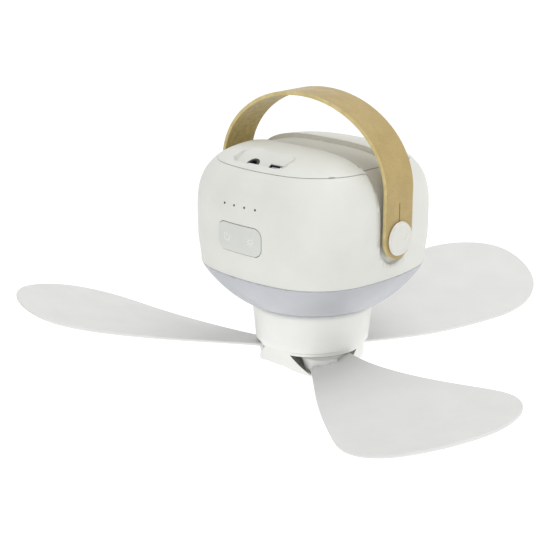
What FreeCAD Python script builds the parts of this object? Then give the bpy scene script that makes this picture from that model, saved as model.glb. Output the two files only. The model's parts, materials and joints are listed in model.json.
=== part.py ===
"""Hanging camping fan with a ring light, a leather strap and three swinging blades.

Millimetres, +Z up. The origin is the point that rests on the hook, under the top of the
strap's arch. The key pad faces -Y and the strap is buttoned to the +X and -X sides.
Heights in the sizes below are measured from the light line, the edge between the white
housing and the light diffuser; every finished piece is lowered to the hook at the end.
"""
import FreeCAD, Part
import os
from math import cos, exp, pi, radians, sin, sqrt, tan

import Sketcher

V = FreeCAD.Vector
UP = V(0, 0, 1)

# how far a cutting tool runs past what it cuts
OVERRUN = 5.0

doc = FreeCAD.newDocument("camping_fan")

SIZES = {
    # housing
    "housing_half": 67.6,
    "belly_swell": 1.6,
    "belly_height": 27.4,
    "crown_rise": 48.4,
    "crown_power": 3.36,
    "corner_reach": 1.095,
    "side_turn": 11.4,
    "seam_drop": 9.6,
    "seam_gap": 0.3,
    "wall": 2.4,
    "floor_height": 6.0,
    "floor_thick": 2.4,
    "channel_half": 14.2,
    "channel_end": 9.0,
    "channel_depth": 2.8,
    # strap and its buttons
    "strap_half": 13.0,
    "strap_thick": 2.6,
    "strap_lift": 2.6,
    "arch_centre": 54.5,
    "arch_rise": 54.0,
    "button_height": 26.0,
    "button_head": 10.75,
    "button_head_thick": 2.2,
    "button_dish": 8.6,
    "button_shank": 4.0,
    "button_tail": 2.0,
    "button_play": 0.2,
    "button_edge": 0.7,
    "button_rim": 0.9,
    "button_sink": 0.5,
    "tail_end": 1.5,
    "washer_play": 0.05,
    "slit_step": 9.0,
    "slit_long": 13.0,
    "slit_width": 0.8,
    "washer_size": 7.5,
    "nut_size": 3.5,
    "nut_thick": 3.2,
    "button_boss": 8.0,
    "button_boss_deep": 2.0,
    # light
    "light_bottom_half": 41.6,
    "light_depth": 26.9,
    "light_power": 1.43,
    "light_trim": 2.2,
    "light_wall": 1.8,
    "collar_play": 0.25,
    "collar_high": 3.4,
    "ring_step": 2.1,
    "ring_play": 0.2,
    "led_board_gap": 1.5,
    "led_board_rim": 8.5,
    "led_board_thick": 1.6,
    "led_count": 18,
    "led_side": 3.0,
    "led_high": 0.7,
    # neck and motor
    "neck_top": 27.5,
    "neck_bottom": 54.4,
    "neck_top_radius": 39.8,
    "neck_taper": 2.6,
    "neck_edge": 1.0,
    "neck_tube": 34.0,
    "neck_play": 0.3,
    "neck_wall": 2.2,
    "neck_flange_wide": 8.0,
    "neck_flange_thick": 2.5,
    "press_play": 0.02,
    "shaft_set": 1.0,
    "shaft_edge": 0.4,
    "shaft_rise": 4.0,
    "clip_wide": 2.2,
    "clip_thick": 0.8,
    "can_hub": 6.0,
    "can_hub_long": 2.0,
    "shaft_radius": 2.5,
    "bearing_radius": 8.0,
    "bearing_high": 5.0,
    "bearing_lip": 1.0,
    "neck_screw": 1.5,
    "screw_play": 0.1,
    "neck_screw_head": 2.6,
    "neck_screw_cap": 1.6,
    "bracket_screw": 1.25,
    "bracket_screw_head": 2.4,
    "bracket_screw_bite": 1.0,
    "bracket_screw_in": 4.0,
    "bracket_radius": 28.0,
    "bracket_thick": 2.0,
    "bracket_tube_wall": 2.0,
    "bracket_tube_top": 32.0,
    "stator_radius": 22.0,
    "stator_yoke": 3.2,
    "stator_low": 46.0,
    "stator_high": 34.5,
    "tooth_count": 9,
    "tooth_width": 3.2,
    "tooth_shoe": 1.6,
    "coil_thick": 1.5,
    "air_gap": 0.5,
    "magnet_thick": 2.2,
    "magnet_count": 12,
    "can_wall": 1.6,
    "can_top": 29.6,
    "can_low": 47.5,
    # rotor
    "rotor_step": 2.7,
    "running_gap": 0.8,
    "carrier_thick": 4.4,
    "carrier_web": 2.0,
    "rotor_hub": 8.0,
    "cap_low": 65.5,
    "lobe_low": 71.5,
    "lobe_bottom_radius": 12.0,
    "lobe_top_radius": 25.5,
    "pin_circle": 23.4,
    "pin_azimuth": -31.6,
    "pin_radius": 2.0,
    "cap_floor": 2.0,
    "pocket_radius": 14.2,
    "pocket_flare": 0.69,
    "cap_screw_circle": 27.0,
    "cap_screw": 1.25,
    "cap_screw_head": 2.4,
    "cap_screw_cap": 1.5,
    "cap_screw_bite": 1.0,
    "nut_high": 4.0,
    "nut_sink": 0.5,
    "shaft_nut_half": 4.15,
    "pin_set": 0.6,
    "pin_short": 0.2,
    "cap_screw_long": 8.0,
    "nut_recess": 7.0,
    # blades, from the rotor's axis
    "blade_thick": 2.0,
    "blade_rim": 0.75,
    "blade_root_level": -62.0,
    "blade_rise": 22.0,
    "blade_rise_power": 2.4,
    "strip_start": 8.0,
    "strip_half": 72.1,
    "pitch_start": 20.0,
    "blade_rise_start": 30.0,
    "blade_length": 206.0,
    "blade_shift": 2.85,
    "pitch_tip": 0.15,
    "pitch_root": 0.085,
    "pitch_fade": 55.0,
    "barrel_top_radius": 14.7,
    "barrel_low_radius": 10.9,
    "barrel_play": 0.3,
    "pin_play": 0.06,
    # power and boards
    "cell_radius": 9.15,
    "cell_length": 65.0,
    "cell_pitch": 18.8,
    "cell_play": 0.2,
    "cell_count": 4,
    "holder_floor": 2.85,
    "holder_wall": 2.0,
    "holder_rise": 13.5,
    "holder_rim": 1.0,
    "seat_gap": 0.1,
    "board_thick": 1.6,
    "main_board_long": 70.0,
    "main_board_wide": 56.0,
    "post_gap": 2.1,
    "post_along": 33.0,
    "post_radius": 4.2,
    "post_top": 46.0,
    "post_bore": 3.0,
    "housing_screw": 1.5,
    "thread_play": 0.05,
    "housing_screw_cap": 1.8,
    "head_bite": 0.5,
    "housing_screw_head": 2.7,
    "housing_screw_seat": 38.0,
    "housing_screw_long": 16.0,
    # port recess in the top cover
    "recess_left": -24.0,
    "recess_right": 19.0,
    "recess_front_step": 16.6,
    "recess_back_step": 33.5,
    "recess_corner": 6.5,
    "recess_sink": 1.6,
    "recess_tilt": 32.0,
    "tray_reach": 12.0,
    "recess_wall": 2.0,
    "jack_across": -9.5,
    "jack_step": 22.4,
    "jack_radius": 4.7,
    "jack_bore": 2.75,
    "jack_pin": 1.05,
    "jack_pin_set": 1.5,
    "jack_long": 12.0,
    "jack_deep": 9.5,
    "usb_across": 10.5,
    "usb_mouth_wide": 12.2,
    "usb_mouth_high": 4.8,
    "usb_skin": 0.5,
    "usb_long": 13.5,
    "usb_floor": 1.5,
    "usb_tongue_side": 0.8,
    "usb_tongue_set": 1.0,
    "usb_tongue_lift": 0.75,
    "port_board_wide": 36.0,
    "port_board_deep": 15.0,
    "usb_tongue": 1.9,
    "port_play": 0.1,
    # keys and indicator lights
    "pad_wide": 36.0,
    "pad_high": 17.5,
    "pad_level": 25.8,
    "pad_corner": 5.5,
    "pad_proud": 0.35,
    "pad_thick": 1.85,
    "ear_wide": 6.0,
    "ear_deep": 5.4,
    "ear_high": 3.4,
    "ear_gap": 0.4,
    "pad_play": 0.4,
    "pad_axle": 1.0,
    "pad_axle_back": 3.9,
    "pad_axle_play": 0.1,
    "plunger_across": 10.0,
    "plunger_radius": 1.6,
    "key_travel_gap": 0.8,
    "plunger_root": 0.4,
    "key_board_behind": 12.1,
    "key_board_wide": 50.0,
    "key_board_drop": 9.8,
    "key_board_edge": 4.0,
    "key_board_boss": 2.5,
    "key_board_boss_inset": 3.5,
    "switch_side": 6.0,
    "switch_deep": 3.5,
    "switch_stem": 1.7,
    "switch_stem_long": 0.8,
    "dot_level": 46.0,
    "dot_pitch": 8.6,
    "dot_radius": 0.65,
    "dot_count": 4,
    "lamp_play": 0.05,
}

# sizes that follow others by a named step, as formulas of the sheet
FOLLOWING = {
    "light_line_half": "housing_half - belly_swell",
    "seam_height": "belly_height + crown_rise - seam_drop",
    "strap_reach": "housing_half - channel_depth + strap_lift + strap_thick",
    "slit_low": "button_height + slit_step",
    "slit_high": "slit_low + slit_long",
    "light_cut": "light_depth - light_trim",
    "ring_low": "neck_top - ring_play",
    "ring_radius": "neck_top_radius + ring_step",
    "neck_bottom_radius": "neck_top_radius - neck_taper",
    "neck_flange": "neck_tube + neck_flange_wide",
    "led_board_inner": "neck_flange + led_board_gap",
    "led_board_outer": "light_line_half - led_board_rim",
    "rotor_radius": "neck_bottom_radius - rotor_step",
    "holder_base": "floor_height + floor_thick + seat_gap",
    "cell_level": "holder_base + holder_floor + cell_radius",
    "holder_top": "cell_level + holder_rise",
    "post_across": "cell_length / 2 + cell_play + holder_wall + post_gap + post_radius",
    "recess_front": "recess_front_step - housing_half",
    "recess_back": "recess_back_step - housing_half",
    "recess_back_level": "belly_height + crown_rise - recess_sink",
    "jack_along": "jack_step - housing_half",
    "key_board_back": "housing_half - key_board_behind",
    "key_board_low": "pad_level - key_board_drop",
    "key_board_top": "dot_level + key_board_edge",
}

# points of the blade's two edges near its root: distance from the rotor's axis, and place
# across the blade
ROOT_EDGES = {
    "low_root": (32.8, -15.0),
    "low_neck": (82.2, -31.9),
    "low_middle": (128.9, -44.6),
    "high_middle": (125.2, 45.2),
    "high_neck": (75.1, 24.8),
    "high_root": (20.4, 13.4),
}

# points of its edges near its tip: distance back from the tip, and place across the blade
TIP_EDGES = {
    "low_belly": (42.8, -49.0),
    "low_shoulder": (19.2, -39.3),
    "tip_low": (2.9, -14.5),
    "tip_high": (0.0, 12.4),
    "high_shoulder": (17.5, 41.5),
    "high_belly": (43.5, 53.6),
}

# the edge points in order, from the root along the low edge and back along the high edge
BLADE_OUTLINE = ("low_root", "low_neck", "low_middle", "low_belly", "low_shoulder", "tip_low",
                 "tip_high", "high_shoulder", "high_belly", "high_middle", "high_neck",
                 "high_root")


class Length:
    """A size in millimetres together with the sheet expression that gives it."""

    def __init__(self, value, text):
        self.value = float(value)
        self.text = text

    def __float__(self):
        return self.value

    def __add__(self, other):
        other = as_length(other)
        return Length(self.value + other.value, f"({self.text} + {other.text})")

    def __sub__(self, other):
        other = as_length(other)
        return Length(self.value - other.value, f"({self.text} - {other.text})")

    def __mul__(self, other):
        other = as_length(other)
        return Length(self.value * other.value, f"({self.text} * {other.text})")

    def __truediv__(self, other):
        other = as_length(other)
        return Length(self.value / other.value, f"({self.text} / {other.text})")

    def __radd__(self, other):
        return as_length(other) + self

    def __rsub__(self, other):
        return as_length(other) - self

    def __rmul__(self, other):
        return as_length(other) * self

    def __neg__(self):
        return as_length(0) - self


def as_length(item):
    """Take a plain number as a length."""
    if isinstance(item, Length):
        return item
    return Length(item, f"{float(item):.6f}")


class Sheet:
    """The spreadsheet of driving dimensions, read as size.NAME."""

    def __init__(self, values, following):
        sheet = doc.addObject("Spreadsheet::Sheet", "sizes")
        cells = {name: str(value) for name, value in values.items()}
        cells.update({name: f"={formula}" for name, formula in following.items()})
        for row, (name, cell) in enumerate(cells.items(), start=1):
            sheet.set(f"A{row}", name)
            sheet.set(f"B{row}", cell)
            sheet.setAlias(f"B{row}", name)
        doc.recompute()
        self._values = {name: float(sheet.get(name)) for name in cells}

    def __getattr__(self, name):
        return Length(self._values[name], f"sizes.{name}")


def sheet_values():
    """All driving dimensions, with the blade's edge points as across and along pairs."""
    values = dict(SIZES)
    for name, (across, along) in {**ROOT_EDGES, **TIP_EDGES}.items():
        values[f"{name}_station"] = across
        values[f"{name}_edge"] = along
    return values


size = Sheet(sheet_values(), FOLLOWING)

ZERO = as_length(0)
BASES = {}
NODES = []

# Pieces made from primitives, whose sizes and places are bound to the sheet


def bind(item, path, length):
    """Bind one property of an object to an expression of the sheet."""
    item.setExpression(path, as_length(length).text)


def place(item, across, along, level):
    """Bind the place of a primitive and remember its level."""
    bind(item, "Placement.Base.x", across)
    bind(item, "Placement.Base.y", along)
    bind(item, "Placement.Base.z", level)
    BASES[item.Name] = as_length(level)


TURNS = {
    "up": FreeCAD.Rotation(),
    "right": FreeCAD.Rotation(V(0, 1, 0), 90),
    "back": FreeCAD.Rotation(V(1, 0, 0), -90),
}


def drum(name, radius, long, at=(0, 0, 0), way="up"):
    """A cylinder that starts at a point and runs up, right (+X) or back (+Y)."""
    item = doc.addObject("Part::Cylinder", name)
    item.Placement = FreeCAD.Placement(V(), TURNS[way])
    bind(item, "Radius", radius)
    bind(item, "Height", long)
    place(item, *at)
    return item


def cone(name, low_radius, high_radius, long, at=(0, 0, 0)):
    """A cone frustum standing at a point."""
    item = doc.addObject("Part::Cone", name)
    bind(item, "Radius1", low_radius)
    bind(item, "Radius2", high_radius)
    bind(item, "Height", long)
    place(item, *at)
    return item


def block(name, sides, centre, level):
    """A box centred on a point in plan, standing at a level."""
    item = doc.addObject("Part::Box", name)
    wide, deep, high = (as_length(side) for side in sides)
    bind(item, "Length", wide)
    bind(item, "Width", deep)
    bind(item, "Height", high)
    place(item, centre[0] - wide / 2, centre[1] - deep / 2, level)
    return item


def fuse(name, items):
    """Join objects into one."""
    item = doc.addObject("Part::MultiFuse", name)
    item.Shapes = items
    item.Refine = True
    return item


def cut(name, base, tools):
    """Cut tools out of a base."""
    item = doc.addObject("Part::Cut", name)
    item.Base = base
    item.Tool = tools[0] if len(tools) == 1 else fuse(f"{name}_tools", tools)
    item.Refine = True
    return item


def common(name, items):
    """Keep what all objects share."""
    item = doc.addObject("Part::MultiCommon", name)
    item.Shapes = items
    item.Refine = True
    return item


def group(name, items):
    """Hold identical separate solids as one sub-part."""
    item = doc.addObject("Part::Compound", name)
    item.Links = items
    return item


def mirrored(name, source, across):
    """A mirror copy on the other side of the plane that is square to an axis."""
    item = doc.addObject("Part::Mirroring", name)
    item.Source = source
    item.Normal = across
    return item


def shaped(name, shape):
    """An object whose shape comes from a formula."""
    item = doc.addObject("Part::Feature", name)
    item.Shape = shape
    return item


def node(name, item):
    """Name a finished sub-part and lower it from the light line to the hook."""
    level = BASES.get(item.Name, ZERO) - (size.arch_centre + arch_inner_rise())
    bind(item, "Placement.Base.z", level)
    item.Label = name
    NODES.append(item)


# Bodies with sketches


def sketch_in(body, role, level=ZERO):
    """A sketch on one of a body's own origin planes, lifted by a bound level."""
    plane = next(item for item in body.Origin.OriginFeatures if item.Role == role)
    sketch = body.newObject("Sketcher::SketchObject", f"{body.Name}_outline")
    sketch.AttachmentSupport = [(plane, "")]
    sketch.MapMode = "FlatFace"
    bind(sketch, "AttachmentOffset.Base.z", level)
    return sketch


def hold(sketch, kind, geometry, corner, value):
    """Fix one coordinate of a point to a bound size, or to the axis where it is nought."""
    value = as_length(value)
    if value.value == 0:
        axis = -2 if kind == "DistanceX" else -1
        sketch.addConstraint(Sketcher.Constraint("PointOnObject", geometry, corner, axis))
        return
    number = sketch.addConstraint(
        Sketcher.Constraint(kind, -1, 1, geometry, corner, value.value))
    sketch.setExpression(f"Constraints[{number}]", value.text)


def add_polygon(sketch, points):
    """A closed outline of straight lines with every corner bound."""
    first = sketch.GeometryCount
    count = len(points)
    for index, start in enumerate(points):
        end = points[(index + 1) % count]
        sketch.addGeometry(Part.LineSegment(
            V(float(start[0]), float(start[1]), 0), V(float(end[0]), float(end[1]), 0)))
    for index in range(count):
        after = (index + 1) % count
        sketch.addConstraint(
            Sketcher.Constraint("Coincident", first + index, 2, first + after, 1))
    for index, (across, up) in enumerate(points):
        hold(sketch, "DistanceX", first + index, 1, across)
        hold(sketch, "DistanceY", first + index, 1, up)


def add_circle(sketch, radius, across=0, along=0):
    """A circle with a bound centre and radius."""
    number = sketch.addGeometry(
        Part.Circle(V(float(across), float(along), 0), UP, float(radius)))
    hold(sketch, "DistanceX", number, 3, across)
    hold(sketch, "DistanceY", number, 3, along)
    rule = sketch.addConstraint(Sketcher.Constraint("Radius", number, float(radius)))
    sketch.setExpression(f"Constraints[{rule}]", as_length(radius).text)


def turned(name, points):
    """A body turned about the vertical axis from a profile of radius and level."""
    body = doc.addObject("PartDesign::Body", name)
    sketch = sketch_in(body, "XZ_Plane")
    add_polygon(sketch, points)
    turn = body.newObject("PartDesign::Revolution", f"{name}_turn")
    turn.Profile = sketch
    turn.ReferenceAxis = (sketch, ["V_Axis"])
    turn.Angle = 360
    return body


def ring(name, inner, outer, low, high):
    """A turned ring with a square section."""
    return turned(name, [(inner, low), (outer, low), (outer, high), (inner, high)])


def board(name, outline, level, thick, holes=()):
    """A flat body padded up from a level, with round holes."""
    body = doc.addObject("PartDesign::Body", name)
    sketch = sketch_in(body, "XY_Plane", level)
    outline(sketch)
    for radius, across, along in holes:
        add_circle(sketch, radius, across, along)
    pad = body.newObject("PartDesign::Pad", f"{name}_pad")
    pad.Profile = sketch
    bind(pad, "Length", thick)
    return body


def rectangle(wide, deep, across=0, along=0):
    """An outline function for a rectangle centred on a point."""
    wide = as_length(wide) / 2
    deep = as_length(deep) / 2
    corners = [(-1, -1), (1, -1), (1, 1), (-1, 1)]
    points = [(across + x * wide, along + y * deep) for x, y in corners]
    return lambda sketch: add_polygon(sketch, points)


def hexagon(radius):
    """An outline function for a hexagon with a given half width across flats."""
    reach = radius * (2 / sqrt(3))
    points = [(reach * cos(pi / 3 * k), reach * sin(pi / 3 * k)) for k in range(6)]
    points = [(ZERO if abs(float(x)) < 1e-9 else x, ZERO if abs(float(y)) < 1e-9 else y)
              for x, y in points]
    return lambda sketch: add_polygon(sketch, points)


def around(count, radius, start=0.0):
    """Points evenly spaced on a circle, as bound lengths, with their angles in degrees."""
    for index in range(int(float(count))):
        angle = start + 360.0 * index / int(float(count))
        yield angle, radius * cos(radians(angle)), radius * sin(radians(angle))


# The rounded-square form of the housing and the light


def rounded_square(half, reach, level):
    """A closed wire of eight tangent arcs around the vertical axis.

    half is the distance to the middle of a side, and half * reach the distance to the
    middle of a corner, so a reach of 1 gives a circle.
    """
    turn = radians(float(size.side_turn))
    offset = half * (reach - 1) / (sqrt(2) - 1 - tan(turn / 2))
    corner = half * reach - sqrt(2) * offset
    side = corner + offset / sin(turn)
    edges = []
    for quarter in range(4):
        spin = pi / 2 * quarter
        side_centre = (half - side, 0)
        corner_centre = (offset, offset)
        for centre, radius, first, last in (
                (side_centre, side, -turn, turn),
                (corner_centre, corner, turn, pi / 2 - turn)):
            points = []
            for angle in (first, (first + last) / 2, last):
                x = centre[0] + radius * cos(angle)
                y = centre[1] + radius * sin(angle)
                points.append(V(x * cos(spin) - y * sin(spin),
                                x * sin(spin) + y * cos(spin), level))
            edges.append(Part.Arc(*points).toShape())
    return Part.Wire(edges)


def housing_form(inset):
    """The housing's rounded-square body with its crowned top, drawn in by an inset."""
    belly = float(size.belly_height)
    widest = float(size.housing_half) - inset
    lowest = float(size.light_line_half) - inset
    rise = float(size.crown_rise) - inset
    power = 2 / float(size.crown_power)
    reach = float(size.corner_reach)
    wires = []
    for share in (0.0, 0.5):
        half = widest - (widest - lowest) * (1 - share) ** 2
        wires.append(rounded_square(half, reach, belly * share))
    for angle in (0, 25, 42, 55, 65, 74, 81, 86):
        half = widest * cos(radians(angle)) ** power
        wires.append(rounded_square(half, reach, belly + rise * sin(radians(angle)) ** power))
    return Part.makeLoft(wires, True, False)


def channel_prism(extra):
    """The strap channel's outline in side view, running right through from side to side."""
    half = float(size.channel_half) + extra
    centre = float(size.channel_end) + float(size.channel_half)
    reach = float(size.housing_half) + 5
    top = float(size.belly_height) + float(size.crown_rise) + 5
    box = Part.makeBox(2 * reach, 2 * half, top - centre, V(-reach, -half, centre))
    end = Part.makeCylinder(half, 2 * reach, V(-reach, 0, centre), V(1, 0, 0))
    return box.fuse(end)


def grooved_form(inset):
    """The housing form at an inset, with the strap channel sunk into its sides and top."""
    depth = float(size.channel_depth)
    relief = channel_prism(inset).cut(housing_form(inset + depth))
    return housing_form(inset).cut(relief)


def slab(name, low, high):
    """A flat block wider than the housing, between two levels."""
    side = size.housing_half * 2 + 10
    return block(name, (side, side, high - low), (ZERO, ZERO), low)


# Strap


def arch_inner_rise():
    """Height of the inside of the strap's arch above the arch's centre."""
    return size.arch_rise - size.strap_thick


def half_ellipse(reach, rise):
    """The upper half of an ellipse lying flat, from its right end to its left end."""
    return Part.ArcOfEllipse(Part.Ellipse(V(), reach, rise), 0, pi).toShape()


def strap_band():
    """The strap's band seen from the front: straight legs and a half-elliptic arch."""
    reach = float(size.strap_reach)
    thick = float(size.strap_thick)
    rise = float(size.arch_rise)
    drop = float(size.arch_centre - size.button_height + size.strap_half)
    outer = half_ellipse(reach, rise)
    inner = half_ellipse(reach - thick, rise - thick)
    sides = []
    for side in (-1, 1):
        points = [V(side * reach, 0, 0), V(side * reach, -drop, 0),
                  V(side * (reach - thick), -drop, 0), V(side * (reach - thick), 0, 0)]
        sides.extend(Part.makeLine(a, b) for a, b in zip(points, points[1:]))
    face = Part.Face(Part.Wire(Part.__sortEdges__([outer, inner] + sides)))
    half = float(size.strap_half)
    band = face.extrude(V(0, 0, 2 * half))
    band.rotate(V(), V(1, 0, 0), 90)
    band.translate(V(0, half, float(size.arch_centre)))
    return band


def make_strap():
    """One leather band with rounded ends, a button hole and a slit above each button."""
    reach = size.strap_reach * 2 + 2
    high = size.arch_centre + size.arch_rise
    body = block("strap_side", (reach, size.strap_half * 2, high - size.button_height),
                 (ZERO, ZERO), size.button_height)
    end = drum("strap_end", size.strap_half, reach,
               (-reach / 2, 0, size.button_height), "right")
    outline = fuse("strap_outline", [body, end])
    band = common("strap_band", [shaped("strap_arch", strap_band()), outline])
    hole = drum("strap_hole", size.button_shank + size.button_play / 2, reach,
                (-reach / 2, 0, size.button_height), "right")
    slit = block("strap_slit", (reach, size.slit_width, size.slit_high - size.slit_low),
                 (ZERO, ZERO), size.slit_low)
    node("strap", cut("strap", band, [hole, slit]))


def button_face():
    """Distance from the middle to the washer's outer face, behind the strap."""
    return size.strap_reach - size.strap_thick - size.button_play


def laid(name, body):
    """Turn a body that stands on the light line so that it points along +X at the button."""
    body.Placement = FreeCAD.Placement(V(), TURNS["right"])
    bind(body, "Placement.Base.z", size.button_height)
    return group(name, [body, mirrored(f"{name}_left", body, V(1, 0, 0))])


def channel_floor():
    """Distance from the middle to the floor of the strap channel beside the button."""
    return size.housing_half - size.channel_depth


def make_strap_buttons():
    """A dished button on each side, with its washer and the nut inside the housing."""
    inner = size.strap_reach + size.button_play / 2
    outer = inner + size.button_head_thick
    seat = channel_floor() - size.wall - size.button_boss_deep
    tail_end = seat - size.nut_thick - size.tail_end
    button = turned("button_turn", [
        (0, tail_end), (size.button_tail, tail_end), (size.button_tail, button_face()),
        (size.button_shank, button_face()), (size.button_shank, inner),
        (size.button_head - size.button_edge, inner),
        (size.button_head, inner + size.button_edge),
        (size.button_head - size.button_rim, outer), (size.button_dish, outer),
        (size.button_dish - size.button_rim, outer - size.button_sink),
        (0, outer - size.button_sink)])
    node("strap_buttons", laid("strap_buttons", button))
    washer = ring("washer_turn", size.button_tail + size.washer_play, size.washer_size,
                  channel_floor(), button_face())
    node("button_washers", laid("button_washers", washer))
    nut = board("nut_pad", hexagon(size.nut_size), seat - size.nut_thick, size.nut_thick,
                [(size.button_tail + size.washer_play, 0, 0)])
    node("button_nuts", laid("button_nuts", nut))


# Housing and cover


def post_places():
    """The four places of the screw posts in plan."""
    for x in (-1, 1):
        for y in (-1, 1):
            yield x * size.post_across, y * size.post_along


def pad_prism(name, extra, front, back):
    """The key pad's rounded outline as a prism along Y between two distances in front."""
    wide = size.pad_wide + 2 * extra
    high = size.pad_high + 2 * extra
    corner = size.pad_corner + extra
    body = doc.addObject("PartDesign::Body", name)
    sketch = sketch_in(body, "XZ_Plane", back)
    low = size.pad_level - high / 2
    top = size.pad_level + high / 2
    add_polygon(sketch, [(-wide / 2, low), (wide / 2, low), (wide / 2, top), (-wide / 2, top)])
    pad = body.newObject("PartDesign::Pad", f"{name}_pad")
    pad.Profile = sketch
    bind(pad, "Length", front - back)
    doc.recompute()
    round_upright_edges(body, pad, V(0, 1, 0), corner)
    return body


def round_upright_edges(body, feature, way, radius):
    """Fillet the straight edges of a pad that run along its direction."""
    names = []
    for index, edge in enumerate(feature.Shape.Edges, start=1):
        if len(edge.Vertexes) == 2 and abs(edge.tangentAt(edge.FirstParameter).dot(way)) > 0.99:
            names.append(f"Edge{index}")
    fillet = body.newObject("PartDesign::Fillet", f"{body.Name}_corners")
    fillet.Base = (feature, names)
    bind(fillet, "Radius", radius)


def pad_axle_along():
    """Distance of the key pad's axle in front of the middle."""
    return size.housing_half + size.pad_proud - size.pad_axle_back


def dot_places():
    """Places across the front of the four indicator lights."""
    middle = (float(size.dot_count) - 1) / 2
    for index in range(int(float(size.dot_count))):
        yield size.dot_pitch * (index - middle)


def make_main_housing():
    """The moulded lower shell: floor, screw posts, button bosses and key pad opening."""
    shell = cut("housing_skin", shaped("housing_outside", grooved_form(0)),
                [shaped("housing_cavity", grooved_form(float(size.wall)))])
    lower = common("housing_lower", [shell, slab("below_seam", ZERO,
                                                  size.seam_height - size.seam_gap / 2)])
    floor = common("housing_floor", [
        shaped("floor_outline", housing_form(float(size.wall) / 2)),
        slab("floor_slab", size.floor_height, size.floor_height + size.floor_thick)])
    seat = channel_floor() - size.wall - size.button_boss_deep
    parts = [lower, floor]
    rods = []
    for index, (x, y) in enumerate(post_places()):
        parts.append(drum(f"post_{index}", size.post_radius,
                          size.post_top - size.floor_height, (x, y, size.floor_height)))
    for side in (-1, 1):
        start = seat if side > 0 else -channel_floor() + size.wall / 2
        parts.append(drum(f"button_boss_{side + 1}", size.button_boss,
                          channel_floor() - size.wall / 2 - seat,
                          (start, 0, size.button_height), "right"))
        rods.append(drum(f"key_board_boss_{side + 1}", size.key_board_boss,
                         size.housing_half - size.key_board_back,
                         (side * (size.key_board_wide / 2 - size.key_board_boss_inset),
                          -size.housing_half, size.pad_level), "back"))
        parts.append(axle_ear(side))
    parts.append(common("key_board_bosses", [
        fuse("key_board_rods", rods), shaped("rod_reach", housing_form(float(size.wall) / 2))]))
    solid = fuse("housing_solid", parts)
    tools = [drum("neck_opening", size.neck_tube + size.neck_play, size.floor_thick + 2,
                  (0, 0, size.floor_height - 1)),
             pad_prism("pad_opening", size.pad_play, size.housing_half + OVERRUN,
                       size.housing_half - size.wall - size.pad_thick)]
    for index, (x, y) in enumerate(post_places()):
        tools.append(drum(f"post_bore_{index}", size.post_bore,
                          size.housing_screw_seat - size.floor_height + 1,
                          (x, y, size.floor_height - 1)))
        tools.append(drum(f"post_hole_{index}", size.housing_screw + size.screw_play,
                          size.post_top, (x, y, size.floor_height)))
    tools.append(drum("button_hole", size.button_tail + size.screw_play,
                      size.housing_half * 2 + 4,
                      (-size.housing_half - 2, 0, size.button_height), "right"))
    tools.append(drum("axle_hole", size.pad_axle + size.pad_axle_play, size.pad_high + 8,
                      (0, -pad_axle_along(), size.pad_level - size.pad_high / 2 - 4)))
    for index, x in enumerate(dot_places()):
        tools.append(drum(f"dot_hole_{index}", size.dot_radius + size.lamp_play,
                          size.wall * 4, (x, -size.housing_half - 2, size.dot_level), "back"))
    for index, (_, x, y) in enumerate(neck_screw_places()):
        tools.append(drum(f"neck_screw_hole_{index}", size.neck_screw + size.screw_play,
                          size.floor_thick + 2, (x, y, size.floor_height - 1)))
    node("main_housing", cut("main_housing", solid, tools))


def axle_ear(side):
    """A small block behind the wall that holds one end of the key pad's axle."""
    middle = size.pad_high / 2 + size.pad_play + size.ear_gap + size.ear_high / 2
    level = size.pad_level + side * middle - size.ear_high / 2
    return block(f"axle_ear_{side + 1}", (size.ear_wide, size.ear_deep, size.ear_high),
                 (ZERO, -pad_axle_along() - size.button_play), level)


def recess_prism(name, extra, drop):
    """The port recess in plan, standing on its sloping floor, which faces up and forward."""
    left = size.recess_left - extra
    right = size.recess_right + extra
    front = size.recess_front - extra
    back = size.recess_back + extra
    base = size.seam_height - size.tray_reach
    body = doc.addObject("PartDesign::Body", name)
    sketch = sketch_in(body, "XY_Plane", base)
    add_polygon(sketch, [(left, front), (right, front), (right, back), (left, back)])
    pad = body.newObject("PartDesign::Pad", f"{name}_pad")
    pad.Profile = sketch
    bind(pad, "Length", size.belly_height + size.crown_rise + 5 - base)
    doc.recompute()
    round_upright_edges(body, pad, UP, size.recess_corner + extra)
    below = doc.addObject("Part::Box", f"{name}_floor")
    for side in ("Length", "Width", "Height"):
        bind(below, side, size.housing_half * 2)
    reach = float(size.housing_half)
    tilt = FreeCAD.Rotation(V(1, 0, 0), float(size.recess_tilt))
    point = V(0, float(size.recess_back), float(size.recess_back_level))
    below.Placement = FreeCAD.Placement(
        point + tilt.multVec(V(-reach, -reach, -2 * reach - float(drop))), tilt)
    return cut(name, body, [below])


def port_frame(across, along, depth=0.0):
    """The placement of a port on the recess floor, its own up axis square to the floor."""
    tilt = FreeCAD.Rotation(V(1, 0, 0), float(size.recess_tilt))
    level = recess_level(float(along))
    return FreeCAD.Placement(V(float(across), float(along), level)
                             + tilt.multVec(V(0, 0, -depth)), tilt)


def recess_level(along):
    """Level of the sloping recess floor at a distance along Y."""
    return (float(size.recess_back_level)
            + (along - float(size.recess_back)) * tan(radians(float(size.recess_tilt))))


def tilted(item, across, along):
    """Lay a finished piece on the recess floor."""
    item.Placement = port_frame(across, along)
    BASES[item.Name] = as_length(recess_level(float(along)))
    return item


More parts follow.
